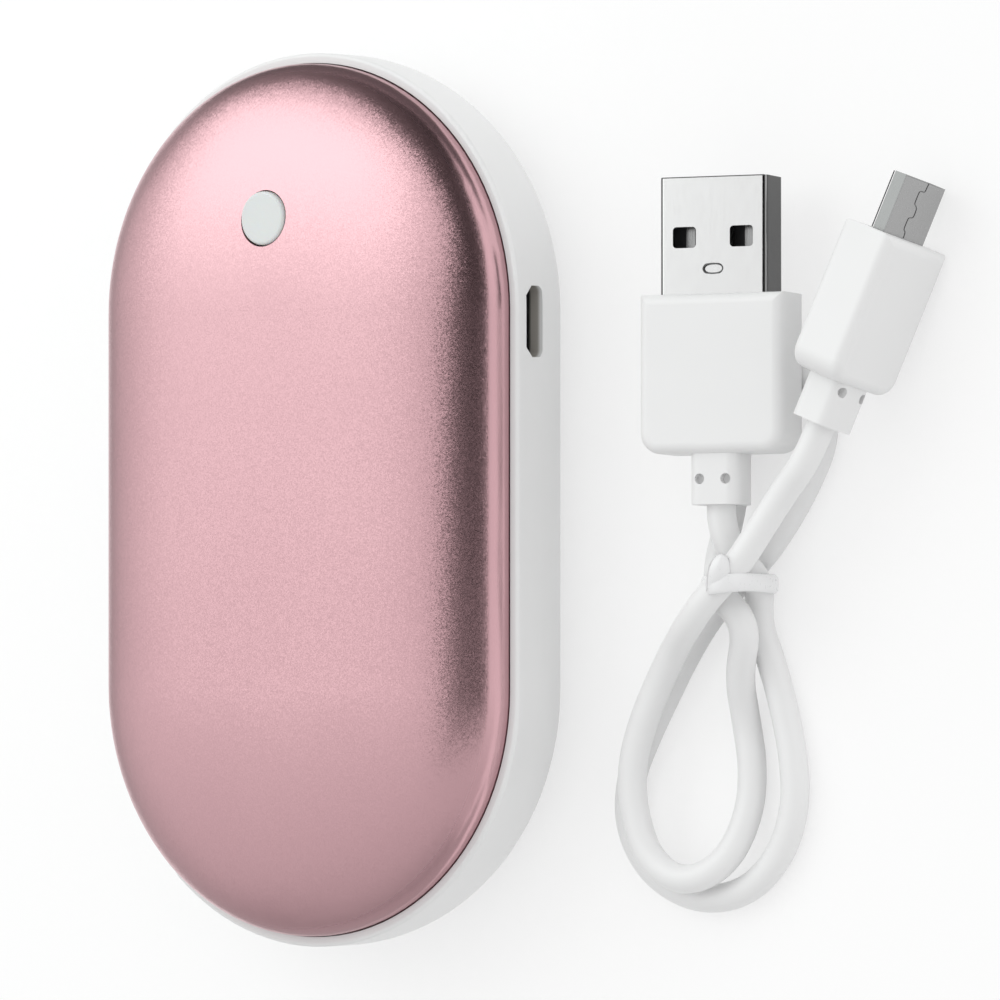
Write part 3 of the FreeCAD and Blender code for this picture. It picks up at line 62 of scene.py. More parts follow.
towards = Vector((math.sin(VIEW_TILT), 0, math.cos(VIEW_TILT)))
aside = Vector((math.cos(VIEW_TILT), 0, -math.sin(VIEW_TILT)))
eye = towards * VIEW_DISTANCE
view_back = (eye - aside * VIEW_ASIDE).normalized()
view_right = Vector((0, 1, 0)).cross(view_back).normalized()
view_turn = Matrix((view_right, view_back.cross(view_right), view_back)).transposed()
camera = add("camera", bpy.data.cameras.new("camera"))
camera.matrix_world = Matrix.Translation(eye) @ view_turn.to_4x4()
camera.data.lens = VIEW_LENS
camera.data.sensor_width = VIEW_SENSOR
bpy.context.scene.camera = camera
bpy.context.scene.view_settings.view_transform = "Standard"

# Most values of a noise texture lie between these two.
NOISE_LOW = 0.3
NOISE_HIGH = 0.7
CELL_MIDDLE = (0.5, 0.5, 0.5)


class Graph:
    """A node tree with short ways to add nodes to it. A term is a socket or a fixed value."""

    def __init__(self, tree):
        self.nodes = tree.nodes
        self.links = tree.links

    def put(self, term, socket):
        if isinstance(term, bpy.types.NodeSocket):
            self.links.new(term, socket)
        else:
            socket.default_value = term

    def calc(self, operation, first, second):
        node = self.nodes.new("ShaderNodeMath")
        node.operation = operation
        self.put(first, node.inputs[0])
        self.put(second, node.inputs[1])
        return node.outputs["Value"]

    def vector(self, operation, *terms):
        node = self.nodes.new("ShaderNodeVectorMath")
        node.operation = operation
        for term, socket in zip(terms, node.inputs):
            self.put(term, socket)
        return node

    def split(self, source):
        """The X, Y and Z of a vector."""
        node = self.nodes.new("ShaderNodeSeparateXYZ")
        self.links.new(source, node.inputs["Vector"])
        return node.outputs

    def span(self, value, start, end, low, high, ease="LINEAR"):
        """A value that goes from low to high as the given one goes from start to end."""
        node = self.nodes.new("ShaderNodeMapRange")
        node.interpolation_type = ease
        self.put(value, node.inputs["Value"])
        self.put(start, node.inputs["From Min"])
        self.put(end, node.inputs["From Max"])
        self.put(low, node.inputs["To Min"])
        self.put(high, node.inputs["To Max"])
        return node.outputs["Result"]


class Surface(Graph):
    """A material with its shader and the patterns that vary it."""

    def __init__(self, name):
        self.material = bpy.data.materials.new(name)
        self.material.use_nodes = True
        super().__init__(self.material.node_tree)
        self.shader = self.nodes["Principled BSDF"]
        self.coords = self.nodes.new("ShaderNodeTexCoord").outputs["Object"]

    def set(self, name, value):
        self.shader.inputs[name].default_value = value
        return self

    def feed(self, value, name):
        self.links.new(value, self.shader.inputs[name])

    def normal(self):
        return self.nodes.new("ShaderNodeNewGeometry").outputs["Normal"]

    def noise(self, scale, detail=2.0, stretch=None):
        source = self.coords
        if stretch:
            mapping = self.nodes.new("ShaderNodeMapping")
            mapping.inputs["Scale"].default_value = stretch
            self.links.new(source, mapping.inputs["Vector"])
            source = mapping.outputs["Vector"]
        node = self.nodes.new("ShaderNodeTexNoise")
        node.inputs["Scale"].default_value = scale
        node.inputs["Detail"].default_value = detail
        self.links.new(source, node.inputs["Vector"])
        return node.outputs["Fac"]

    def ramp(self, value, stops):
        """A colour that goes through the stops, each a place and its colour, as the value rises."""
        node = self.nodes.new("ShaderNodeValToRGB")
        elements = node.color_ramp.elements
        for place, colour in stops[2:]:
            elements.new(place)
        for element, (place, colour) in zip(elements, stops):
            element.position = place
            element.color = (*colour, 1)
        self.links.new(value, node.inputs["Fac"])
        return node.outputs["Color"]

    def tint(self, value, dark, light):
        """Colours the surface from dark to light by a noise."""
        self.feed(self.ramp(value, [(NOISE_LOW, dark), (NOISE_HIGH, light)]), "Base Color")

    def facets(self, scale, tilt):
        """Tips the surface at random from one small cell to the next."""
        cells = self.nodes.new("ShaderNodeTexVoronoi")
        cells.inputs["Scale"].default_value = scale
        self.links.new(self.coords, cells.inputs["Vector"])
        centred = self.vector("SUBTRACT", cells.outputs["Color"], CELL_MIDDLE)
        scaled = self.vector("SCALE", centred.outputs["Vector"])
        self.links.new(tilt, scaled.inputs["Scale"])
        tipped = self.vector("ADD", self.normal(), scaled.outputs["Vector"])
        unit = self.vector("NORMALIZE", tipped.outputs["Vector"])
        self.feed(unit.outputs["Vector"], "Normal")

    def bump(self, value, depth, strength):
        node = self.nodes.new("ShaderNodeBump")
        node.inputs["Strength"].default_value = strength
        node.inputs["Distance"].default_value = depth
        self.links.new(value, node.inputs["Height"])
        self.feed(node.outputs["Normal"], "Normal")


MOULDED_CLOUD = 90.0
MOULDED_DETAIL = 3.0
MOULDED_SPREAD = 0.04
MOULDED_BUMP = 0.4


def moulded(name, colour, rough, grain=2600.0, depth=0.004 * MM, shade=0.985):
    """Moulded plastic: a faint cloudiness in the colour and a fine satin texture."""
    surface = Surface(name)
    surface.tint(surface.noise(MOULDED_CLOUD), [c * shade for c in colour], colour)
    fine = surface.noise(grain, MOULDED_DETAIL)
    satin = surface.span(fine, NOISE_LOW, NOISE_HIGH, rough - MOULDED_SPREAD, rough + MOULDED_SPREAD)
    surface.feed(satin, "Roughness")
    surface.bump(fine, depth, MOULDED_BUMP)
    return surface


PLATE_CLOUD = 500.0
PLATE_SHADE = 0.95
DRAWN_LINES = 9000.0
DRAWN_SMOOTHER = 0.05
DRAWN_ROUGHER = 0.06
DRAWN_BUMP = 0.3


def drawn(surface, rough, stretch=(1.0, 0.05, 1.0), depth=0.002 * MM):
    """Gives a metal fine drawing lines along one way."""
    lines = surface.noise(DRAWN_LINES, stretch=stretch)
    shine = surface.span(lines, NOISE_LOW, NOISE_HIGH, rough - DRAWN_SMOOTHER, rough + DRAWN_ROUGHER)
    surface.feed(shine, "Roughness")
    surface.bump(lines, depth, DRAWN_BUMP)


def sheet_metal(name, colour, rough, **lines):
    """Plated sheet: slightly cloudy plating over drawing lines."""
    surface = Surface(name).set("Metallic", 1.0)
    surface.tint(surface.noise(PLATE_CLOUD), [c * PLATE_SHADE for c in colour], colour)
    drawn(surface, rough, **lines)
    return surface


def painted_reflection_metal(name, across, greys, rough):
    """Plated sheet folded to a plug's shell, with painted reflection: its colour is darker along the folds
    and on the narrow sides, by the way each face points. The greys go from the broad faces, over the fold,
    to the narrow sides."""
    surface = Surface(name).set("Metallic", 1.0)
    facing = surface.vector("DOT_PRODUCT", surface.normal(), across).outputs["Value"]
    sideways = surface.calc("MULTIPLY", facing, facing)
    stops = [(place, (grey, grey, grey)) for place, grey in greys]
    surface.feed(surface.ramp(sideways, stops), "Base Color")
    drawn(surface, rough)
    return surface


ANODISED_CLOUD = 60.0
ANODISED_DARK = (0.665, 0.405, 0.438)
ANODISED_LIGHT = (0.685, 0.420, 0.452)
SEAT_TOP = 16.3 * MM
DOME_FOOT = 16.8 * MM
SEAT_ROUGH = 0.24
DOME_ROUGH = 0.28
FACET_SCALE = 10000.0
FACET_TILT = 0.125


def anodised(name):
    """Bead-blasted anodised metal: tiny facets over the dome, a smooth band near its seat."""
    surface = Surface(name).set("Metallic", 1.0)
    surface.tint(surface.noise(ANODISED_CLOUD), ANODISED_DARK, ANODISED_LIGHT)
    height = surface.split(surface.coords)["Z"]
    dome = surface.span(height, SEAT_TOP, DOME_FOOT, 0.0, 1.0, "SMOOTHSTEP")
    surface.feed(surface.span(dome, 0.0, 1.0, SEAT_ROUGH, DOME_ROUGH), "Roughness")
    surface.facets(FACET_SCALE, surface.span(dome, 0.0, 1.0, 0.0, FACET_TILT))
    return surface


HOUSING_WHITE = (0.82, 0.82, 0.82)
HOUSING_ROUGH = 0.36
PORT_MIDDLE = Vector((27.7, 18.8, 10.96)) * MM
PORT_HALF_LONG = 3.78 * MM
PORT_HALF_HIGH = 1.43 * MM
PORT_FADE = 0.2 * MM
SLOT_START = 0.3 * MM
SLOT_FULL = 0.7 * MM
SLOT_REACH = 5.0 * MM
SLOT_END = 6.0 * MM
# Painted shade in the charging slot: grey near the mouth, fading to nearly black between 1.5 and 1.8 mm in.
PAINTED_SHADE_END = 1.5 * MM
PAINTED_DEEP_SHADE_START = 1.8 * MM
SLOT_PAINTED_SHADE = (0.40, 0.38, 0.35)
SLOT_PAINTED_DEEP_SHADE = (0.02, 0.02, 0.02)

# Colour sockets of a mix node.
MIX_FIRST = 6
MIX_SECOND = 7
MIX_RESULT = 2


def slotted_painted_shade(name, colour):
    """White moulding with painted shade in its charging slot: grey on the slot's walls, nearly black
    further in.
    """
    surface = moulded(name, colour, HOUSING_ROUGH)
    white = surface.shader.inputs["Base Color"].links[0].from_socket
    offset = surface.vector("SUBTRACT", surface.coords, PORT_MIDDLE).outputs["Vector"]
    away = surface.split(surface.vector("ABSOLUTE", offset).outputs["Vector"])
    inside = surface.span(away["X"], SLOT_START, SLOT_FULL, 0.0, 1.0)
    limits = [
        ("X", SLOT_REACH, SLOT_END),
        ("Y", PORT_HALF_LONG, PORT_HALF_LONG + PORT_FADE),
        ("Z", PORT_HALF_HIGH, PORT_HALF_HIGH + PORT_FADE),
    ]
    for axis, start, end in limits:
        inside = surface.calc("MULTIPLY", inside, surface.span(away[axis], start, end, 1.0, 0.0))
    deep = surface.span(away["X"], PAINTED_SHADE_END, PAINTED_DEEP_SHADE_START, 0.0, 1.0)
    painted_slot_shade = surface.ramp(deep, [(0.0, SLOT_PAINTED_SHADE), (1.0, SLOT_PAINTED_DEEP_SHADE)])
    mix = surface.nodes.new("ShaderNodeMix")
    mix.data_type = "RGBA"
    surface.links.new(inside, mix.inputs["Factor"])
    surface.links.new(white, mix.inputs[MIX_FIRST])
    surface.links.new(painted_slot_shade, mix.inputs[MIX_SECOND])
    surface.feed(mix.outputs[MIX_RESULT], "Base Color")
    return surface


# Plugs: the tip of each metal shell, and its ways across, along and out of its broad face.
USB_TIP = Vector((49.278, 33.548, 7.410)) * MM
USB_SIDE = Vector((0.97385, 0.01759, -0.22651))
USB_AXIS = Vector((-0.02616, 0.99905, -0.03490))
USB_FACE = Vector((0.22568, 0.03991, 0.97338))
MICRO_TIP = Vector((72.210, 32.940, 4.387)) * MM
MICRO_SIDE = Vector((0.03574, -0.19306, -0.98054))
MICRO_AXIS = Vector((0.33541, 0.92657, -0.17021))
MICRO_FACE = Vector((0.94139, -0.32280, 0.09787))

# Painted reflection on the plug shells: greys set by the way each face points, light on the broad faces,
# nearly black on the folds and darker on the narrow sides.
USB_PAINTED_REFLECTION = [(0.05, 0.74), (0.14, 0.03), (0.30, 0.03), (0.45, 0.36), (0.75, 0.36), (0.9, 0.06)]
USB_ROUGH = 0.16
MICRO_PAINTED_REFLECTION = [(0.1, 0.40), (0.25, 0.06), (0.75, 0.06), (0.9, 0.25)]
MICRO_ROUGH = 0.22
CAP_GLOW = 0.1

MOULDED = {
    "inner_plastic": dict(colour=(0.76, 0.76, 0.74), rough=0.5),
    "milky_cap": dict(colour=(0.76, 0.75, 0.73), rough=0.42),
    "black_plastic": dict(colour=(0.022, 0.022, 0.024), rough=0.5, shade=0.8),
    "board_green": dict(colour=(0.02, 0.16, 0.07), rough=0.35, shade=0.8),
    "ferrite_grey": dict(colour=(0.11, 0.11, 0.115), rough=0.6, shade=0.8),
    "ceramic_tan": dict(colour=(0.42, 0.30, 0.18), rough=0.5, shade=0.85),
    "lamp_lens": dict(colour=(0.85, 0.80, 0.58), rough=0.2),
    "grey_foam": dict(colour=(0.24, 0.24, 0.24), rough=0.9, grain=1200.0, depth=0.05 * MM, shade=0.8),
    "white_gum": dict(colour=(0.74, 0.74, 0.71), rough=0.6),
    "amber_film": dict(colour=(0.55, 0.25, 0.04), rough=0.2, shade=0.85),
    "red_wire": dict(colour=(0.50, 0.02, 0.02), rough=0.4, shade=0.85),
    "black_wire": dict(colour=(0.025, 0.025, 0.025), rough=0.4, shade=0.85),
    "white_moulding": dict(colour=(0.83, 0.83, 0.83), rough=0.42),
    "plug_insulator": dict(colour=(0.03, 0.03, 0.032), rough=0.4, shade=0.8),
    "white_cord": dict(colour=(0.85, 0.85, 0.85), rough=0.4),
    "clear_tie": dict(colour=(0.85, 0.85, 0.855), rough=0.3, depth=0.001 * MM),
}
PLATED = {
    "tin_plate": dict(colour=(0.66, 0.66, 0.67), rough=0.3),
    "steel_screw": dict(colour=(0.60, 0.60, 0.61), rough=0.28),
    "gold_contact": dict(colour=(0.80, 0.58, 0.22), rough=0.25),
    "foil_pouch": dict(colour=(0.62, 0.62, 0.63), rough=0.4, stretch=(1.0, 1.0, 1.0), depth=0.01 * MM),
    "trace_foil": dict(colour=(0.62, 0.38, 0.20), rough=0.35),
}
SURFACES = {name: moulded(name, **look) for name, look in MOULDED.items()}
SURFACES.update({name: sheet_metal(name, **look) for name, look in PLATED.items()})
SURFACES["milky_cap"].set("Subsurface Weight", CAP_GLOW)
SURFACES["pink_anodised"] = anodised("pink_anodised")
SURFACES["white_housing"] = slotted_painted_shade("white_housing", HOUSING_WHITE)
SURFACES["nickel_plate"] = painted_reflection_metal("nickel_plate", USB_SIDE, USB_PAINTED_REFLECTION, USB_ROUGH)

# Looks of their own within a slot: the small plug's metal, the large plug's contacts, and a dark nickel for
# the seam and for the painted shade along the plugs' edges.
# Painted reflection on the small plug's shell, with its own greys.
MICRO_NICKEL_PAINTED_REFLECTION = painted_reflection_metal("micro_nickel_painted_reflection", MICRO_SIDE, MICRO_PAINTED_REFLECTION, MICRO_ROUGH)
CONTACT_METAL = sheet_metal("contact_metal", (0.34, 0.34, 0.34), 0.25)
SEAM_AND_PAINTED_SHADE_NICKEL = sheet_metal("seam_and_painted_shade_nickel", (0.16, 0.16, 0.16), 0.2)
for part in frame["record"]["subparts"]:
    surface = SURFACES[part["material_slot"]]
    if part["node"].startswith("micro_plug") and part["material_slot"] == "nickel_plate":
        surface = MICRO_NICKEL_PAINTED_REFLECTION
    if part["node"] == "usb_plug_contacts":
        surface = CONTACT_METAL
    for place in nodes[part["node"]].material_slots:
        place.material = surface.material

CURVE_STEPS = 10
SMOOTH = 3
STRAIGHT = 2


def curve(name, points, radius, order, sides, loop=False):
    """A round tube along one spline. Its bevel is a unit circle, sized by each point's radius."""
    data = bpy.data.curves.new(name, "CURVE")
    data.dimensions = "3D"
    data.resolution_u = CURVE_STEPS
    data.bevel_depth = 1.0
    data.bevel_resolution = sides
    data.use_fill_caps = True
    spline = data.splines.new("NURBS")
    spline.points.add(len(points) - 1)
    for point, place in zip(spline.points, points):
        point.co = (*place, 1)
        point.radius = radius
    spline.order_u = order
    spline.use_endpoint_u = not loop
    spline.use_cyclic_u = loop
    return add(name, data)


def finish(piece, body, slot, surface=None):
    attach(piece, body)
    piece.data.materials.append((surface or SURFACES[slot]).material)


def blunt(angle, power):
    """A cosine with blunter turns, for a ring with squarer ends."""
    return math.copysign(abs(math.cos(angle)) ** power, math.cos(angle))


# Cord: it follows the solid's route, with the strands near the tie as the photograph shows them.
CORD_DIAMETER = 3.05 * MM
CORD_SIDES = 7
CORD_ROUTE = [
    (50.17, -0.52, 8.60), (50.27, -4.52, 8.74), (52.10, -8.30, 4.10), (50.20, -12.74, 2.20),
    (51.80, -17.34, 1.60), (53.30, -22.11, 1.55), (54.40, -26.90, 1.55), (54.70, -31.78, 1.55),
    (53.10, -36.60, 1.55), (49.70, -40.30, 1.55), (45.10, -42.00, 1.55), (40.20, -41.50, 1.55),
    (35.70, -38.90, 1.56), (33.10, -34.40, 1.60), (33.30, -29.50, 1.60), (35.50, -24.99, 1.62),
    (38.10, -20.59, 1.70), (40.70, -16.36, 1.80), (43.50, -12.60, 1.90), (46.90, -9.20, 2.10),
    (50.70, -6.00, 2.00), (53.70, -2.10, 1.70), (56.30, 1.90, 1.62), (58.40, 6.24, 1.56),
    (57.97, 11.00, 1.55), (54.18, 13.82, 1.55), (49.64, 12.51, 1.55), (47.44, 8.23, 1.62),
    (47.34, 3.37, 1.98), (47.50, -1.40, 3.00), (47.30, -6.00, 5.00), (48.90, -9.60, 7.50),
    (52.30, -13.00, 6.85), (49.30, -18.32, 4.30), (48.50, -23.18, 1.75), (49.30, -28.04, 1.60),
    (49.20, -33.00, 2.20), (47.30, -38.00, 3.60), (42.90, -40.30, 4.90), (38.30, -38.00, 4.95),
    (36.40, -32.83, 5.20), (36.40, -28.00, 5.62), (38.00, -23.31, 5.77), (40.30, -19.04, 5.97),
    (43.30, -15.38, 7.20), (46.80, -12.93, 9.75), (49.90, -10.22, 10.85), (53.30, -6.81, 10.20),
    (55.90, -2.75, 9.40), (58.66, 1.09, 9.10), (61.78, 4.12, 9.68), (63.12, 7.83, 9.00),
]
cord = curve("cord", [Vector(place) * MM for place in CORD_ROUTE], CORD_DIAMETER / 2, SMOOTH, CORD_SIDES)
finish(cord, "lead", "white_cord")
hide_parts("charging_cord")

# Tie: a soft band round the strands and a loose lobe of its end. Places are in millimetres across the
# view, towards the eye and up the picture.
BAND_PATH = [
    (32.6, 35.5), (32.55, 38.6), (33.1, 41.2), (34.3, 42.1), (35.9, 42.0), (37.4, 41.0), (38.7, 38.7),
    (40.05, 36.3), (40.3, 34.2), (39.3, 32.5), (37.2, 29.6), (35.4, 28.9), (34.0, 30.2), (33.0, 32.6),
]
BAND_HIGH = [1.0, 1.0, 1.0, 1.0, 0.98, 0.96, 0.98, 1.02, 0.85, 0.95, 1.0, 1.0, 1.0, 1.0]
BAND_SHIFT = [-0.25, -0.25, -0.2, -0.05, 0.1, 0.1, 0.0, -0.12, -0.2, -0.1, 0.0, 0.0, 0.0, 0.0]
BAND_Y = -8.62
BAND_THICK = 0.22
BAND_BOW = 0.12
BAND_SQUARE = 0.7
BAND_STEPS = 6
BAND_AHEAD = 0.05
BAND_POINTS = 12


def seen(across, deep, high):
    """A place in metres from millimetres across the view, towards the eye and up the picture."""
    return (aside * across + towards * deep + Vector((0, high, 0))) * MM


def eased(values, spot):
    """A smooth closed curve through the values, at a spot counted in values."""
    count = len(values)
    first = math.floor(spot)
    t = spot - first
    a, b, c, d = (Vector(values[(first + i) % count]) for i in (-1, 0, 1, 2))
    slope = (c - a) * (t / 2)
    bend = (a * 2 - b * 5 + c * 4 - d) * (t * t / 2)
    twist = (b * 3 - a - c * 3 + d) * (t ** 3 / 2)
    return b + slope + bend + twist


def band_mesh(shape):
    values = [(x, d, h, s) for (x, d), h, s in zip(BAND_PATH, BAND_HIGH, BAND_SHIFT)]
    rows = []
    for i in range(len(values) * BAND_STEPS):
        across, deep, half, shift = eased(values, i / BAND_STEPS)
        ahead = eased(values, i / BAND_STEPS + BAND_AHEAD)
        along = Vector((ahead[0] - across, ahead[1] - deep)).normalized()
        ring = []
        for j in range(BAND_POINTS):
            angle = 2 * math.pi * j / BAND_POINTS
            flat = blunt(angle, BAND_SQUARE)
            bow = BAND_THICK * math.sin(angle) - BAND_BOW * flat * flat
            place = seen(across - along[1] * bow, deep + along[0] * bow, BAND_Y + shift + flat * half)
            ring.append(shape.verts.new(place))
        rows.append(ring)
    for ring, after in zip(rows, rows[1:] + rows[:1]):
        for j in range(BAND_POINTS):
            k = (j + 1) % BAND_POINTS
            shape.faces.new((ring[j], after[j], after[k], ring[k]))


LOBE_FOOT = -9.4
LOBE_TOP = -5.55
LOBE_ROWS = 16
LOBE_COLUMNS = 12
LOBE_MIDDLE = 34.0
LOBE_LEAN = 0.3
LOBE_HALF = 1.24
LOBE_SHOULDER = 0.4
LOBE_ROUND = 2.2
LOBE_DEEP = 41.35
LOBE_LIFT = 1.08
LOBE_ARCH = 0.75
LOBE_SAG = 0.25
LOBE_CUP = 0.35
LOBE_SKIN = 0.17
LOBE_EDGE = 4
WELD = 0.01 * MM


def lobe_sheet(shape, skin):
    """One face of the lobe: rows of corners from its foot to its rounded top."""
    grid = []
    for i in range(LOBE_ROWS + 1):
        t = i / LOBE_ROWS
        high = LOBE_FOOT + (LOBE_TOP - LOBE_FOOT) * t
        past = max(0.0, (t - LOBE_SHOULDER) / (1 - LOBE_SHOULDER))
        half = LOBE_HALF * math.sqrt(max(0.0, 1 - past ** LOBE_ROUND))
        middle = LOBE_MIDDLE + LOBE_LEAN * t * t
        arch = LOBE_LIFT * math.sin(math.pi * min(1.0, t * LOBE_ARCH))
        line = []
        for j in range(LOBE_COLUMNS + 1):
            u = 2 * j / LOBE_COLUMNS - 1
            crown = arch * (1 - LOBE_SAG * u * u) - LOBE_CUP * u * u
            deep = LOBE_DEEP + crown + skin * (1 - abs(u) ** LOBE_EDGE)
            line.append(shape.verts.new(seen(middle + half * u, deep, high)))
        grid.append(line)
    return grid


def lobe_mesh(shape):
    front = lobe_sheet(shape, LOBE_SKIN)
    rear = lobe_sheet(shape, -LOBE_SKIN)
    for i in range(LOBE_ROWS):
        for j in range(LOBE_COLUMNS):
            shape.faces.new((front[i][j], front[i][j + 1], front[i + 1][j + 1], front[i + 1][j]))
            shape.faces.new((rear[i][j], rear[i + 1][j], rear[i + 1][j + 1], rear[i][j + 1]))
    corners = [corner for line in front + rear for corner in line]
    bmesh.ops.remove_doubles(shape, verts=corners, dist=WELD)


tie_mesh = bpy.data.meshes.new("tie_band")
tie_shape = bmesh.new()
band_mesh(tie_shape)
lobe_mesh(tie_shape)
bmesh.ops.recalc_face_normals(tie_shape, faces=tie_shape.faces)
tie_shape.to_mesh(tie_mesh)
tie_shape.free()
tie_mesh.shade_smooth()
tie = add("tie_band", tie_mesh)
finish(tie, "lead", "clear_tie")
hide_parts("cord_tie")

# Small plug: the jigsaw seam of its folded shell, as millimetres across and back from the tip.
SEAM = [
    (0.55, 0.05), (0.50, 0.75), (0.42, 1.05), (0.05, 1.05), (-0.38, 1.10), (-0.42, 1.45), (-0.42, 2.25),
    (-0.38, 2.55), (0.00, 2.70), (0.22, 2.95), (0.25, 3.60), (0.20, 3.90), (-0.15, 4.00), (-0.45, 4.05),
    (-0.50, 4.40), (-0.50, 5.10), (-0.45, 5.40), (-0.15, 5.50), (-0.05, 5.80), (-0.05, 6.20),
]
SEAM_RADIUS = 0.055 * MM
THIN_SIDES = 2
MICRO_HALF = 0.9
seam_line = [
    MICRO_TIP + (MICRO_SIDE * x - MICRO_AXIS * y + MICRO_FACE * MICRO_HALF) * MM for x, y in SEAM]
seam = curve("small_plug_seam", seam_line, SEAM_RADIUS, SMOOTH, THIN_SIDES)
finish(seam, "lead", "nickel_plate", SEAM_AND_PAINTED_SHADE_NICKEL)

# Both plugs: dark lines of painted shade along the folded and cut edges of the shells. Ends are in
# millimetres across, back from the tip and out of the broad face.
MICRO_WIDE = 3.425
MICRO_LONG = 6.25
MICRO_MOUTH_SHORT = 0.5
USB_WIDE = 5.75
USB_HALF = 2.25
USB_MOUTH_BACK = 0.04
USB_MOUTH_SUNK = 0.03
EDGE_RADIUS = 0.065 * MM
EDGE_INSET = 0.06


def edge(name, tip, side, axis, face, ends):
    line = [tip + (side * x - axis * y + face * z) * MM for x, y, z in ends]
    piece = curve(name, line, EDGE_RADIUS, STRAIGHT, THIN_SIDES)
    finish(piece, "lead", "nickel_plate", SEAM_AND_PAINTED_SHADE_NICKEL)
    return piece


def small_edge(name, *ends):
    return edge(name, MICRO_TIP, MICRO_SIDE, MICRO_AXIS, MICRO_FACE, ends)


fold_side = EDGE_INSET - MICRO_WIDE
mouth_side = MICRO_WIDE - MICRO_MOUTH_SHORT
micro_out = MICRO_HALF - EDGE_INSET
usb_out = USB_HALF - USB_MOUTH_SUNK
edges = [
    small_edge("small_plug_fold_front",
               (fold_side, EDGE_INSET, micro_out), (fold_side, MICRO_LONG, micro_out)),
    small_edge("small_plug_fold_rear",
               (fold_side, EDGE_INSET, -micro_out), (fold_side, MICRO_LONG, -micro_out)),
    small_edge("small_plug_mouth",
               (fold_side, EDGE_INSET, micro_out), (mouth_side, EDGE_INSET, micro_out)),
    edge("large_plug_mouth", USB_TIP, USB_SIDE, USB_AXIS, USB_FACE,
         [(-USB_WIDE, USB_MOUTH_BACK, usb_out), (USB_WIDE, USB_MOUTH_BACK, usb_out)]),
]

# Large plug: the pressed rim of the oval dimple, drawn as a dark ring of painted shade.
DIMPLE_BACK = 9.6
DIMPLE_WIDE = 1.12
DIMPLE_TALL = 0.52
RIM_SUNK = 0.03
RIM_SQUARE = 0.75
RIM_POINTS = 16
RIM_RADIUS = 0.085 * MM
RIM_SIDES = 3

dimple = USB_TIP + (USB_FACE * (USB_HALF - RIM_SUNK) - USB_AXIS * DIMPLE_BACK) * MM
rim_line = []
for i in range(RIM_POINTS):
    angle = 2 * math.pi * i / RIM_POINTS
    x = blunt(angle, RIM_SQUARE) * DIMPLE_WIDE
    y = math.sin(angle) * DIMPLE_TALL
    rim_line.append(dimple + (USB_SIDE * x + USB_AXIS * y) * MM)
rim = curve("large_plug_dimple", rim_line, RIM_RADIUS, SMOOTH, RIM_SIDES, loop=True)
finish(rim, "lead", "nickel_plate", SEAM_AND_PAINTED_SHADE_NICKEL)

# Studio: plain pale floor, soft sky, two soft boxes, and cards outside the picture that only metal mirrors.
FLOOR_RADIUS = 4.0
FLOOR_SIDES = 96
FLOOR_GREY = 0.97
FLOOR_SHADE = 0.99
FLOOR_CLOUD = 3.0
PAPER_ROUGH = 0.9


def paper(name):
    return Surface(name).set("Roughness", PAPER_ROUGH).set("Specular IOR Level", 0.0)


floor_mesh = bpy.data.meshes.new("floor")
floor_shape = bmesh.new()
bmesh.ops.create_circle(floor_shape, cap_ends=True, segments=FLOOR_SIDES, radius=FLOOR_RADIUS)
floor_shape.to_mesh(floor_mesh)
floor_shape.free()
floor = add("floor", floor_mesh)
floor_paper = paper("floor_paper")
floor_paper.tint(floor_paper.noise(FLOOR_CLOUD), [FLOOR_GREY * FLOOR_SHADE] * 3, [FLOOR_GREY] * 3)
floor_mesh.materials.append(floor_paper.material)

# The floor is seen, by the eye and in metal, as a white backdrop that keeps part of the shadow.
BACKDROP_SHARE = 0.6
rays = floor_paper.nodes.new("ShaderNodeLightPath").outputs
seen_ray = floor_paper.calc("MAXIMUM", rays["Is Camera Ray"], rays["Is Glossy Ray"])
seen_ray = floor_paper.calc("MAXIMUM", seen_ray, rays["Is Transmission Ray"])
backdrop = floor_paper.nodes.new("ShaderNodeEmission")
blend = floor_paper.nodes.new("ShaderNodeMixShader")
floor_paper.put(floor_paper.calc("MULTIPLY", seen_ray, BACKDROP_SHARE), blend.inputs["Fac"])
floor_paper.put(floor_paper.shader.outputs["BSDF"], blend.inputs[1])
floor_paper.put(backdrop.outputs["Emission"], blend.inputs[2])
floor_paper.put(blend.outputs["Shader"], floor_paper.nodes["Material Output"].inputs["Surface"])

BOX_TINT = (0.92, 1.0, 0.97)


def soft_box(name, azimuth, elevation, distance, roll, width, length, level):
    """An area lamp of a given brightness, aimed at the part and rolled about its own axis."""
    lamp = bpy.data.lights.new(name, "AREA")
    lamp.color = BOX_TINT
    lamp.shape = "RECTANGLE"
    lamp.size = width
    lamp.size_y = length
    lamp.energy = level * math.pi * width * length
    holder = add(name, lamp)
    turn = math.radians(azimuth)
    rise = math.radians(elevation)
    way = Vector((math.cos(rise) * math.cos(turn), math.cos(rise) * math.sin(turn), math.sin(rise)))
    holder.location = way * distance
    aim = (-holder.location).to_track_quat("-Z", "Y")
    holder.rotation_euler = (aim @ Quaternion((0, 0, 1), math.radians(roll))).to_euler()


QUAD = [(0, 1, 2, 3)]
CARD_LIFT = 0.5


def card(name, corners, greys, faces=QUAD):
    """A sheet of paper outside the picture that only the metal mirrors, graded from corner to corner."""
    mesh = bpy.data.meshes.new(name)
    mesh.from_pydata([Vector(corner) * MM for corner in corners], [], faces)
    shades = mesh.attributes.new("shade", "FLOAT", "POINT")
    for shade, grey in zip(shades.data, greys):
        shade.value = grey
    surface = paper(name + "_paper")
    source = surface.nodes.new("ShaderNodeAttribute")
    source.attribute_name = "shade"
    surface.feed(source.outputs["Fac"], "Base Color")
    mesh.materials.append(surface.material)
    piece = add(name, mesh)
    piece.visible_camera = False
    piece.visible_diffuse = False
    piece.visible_shadow = False


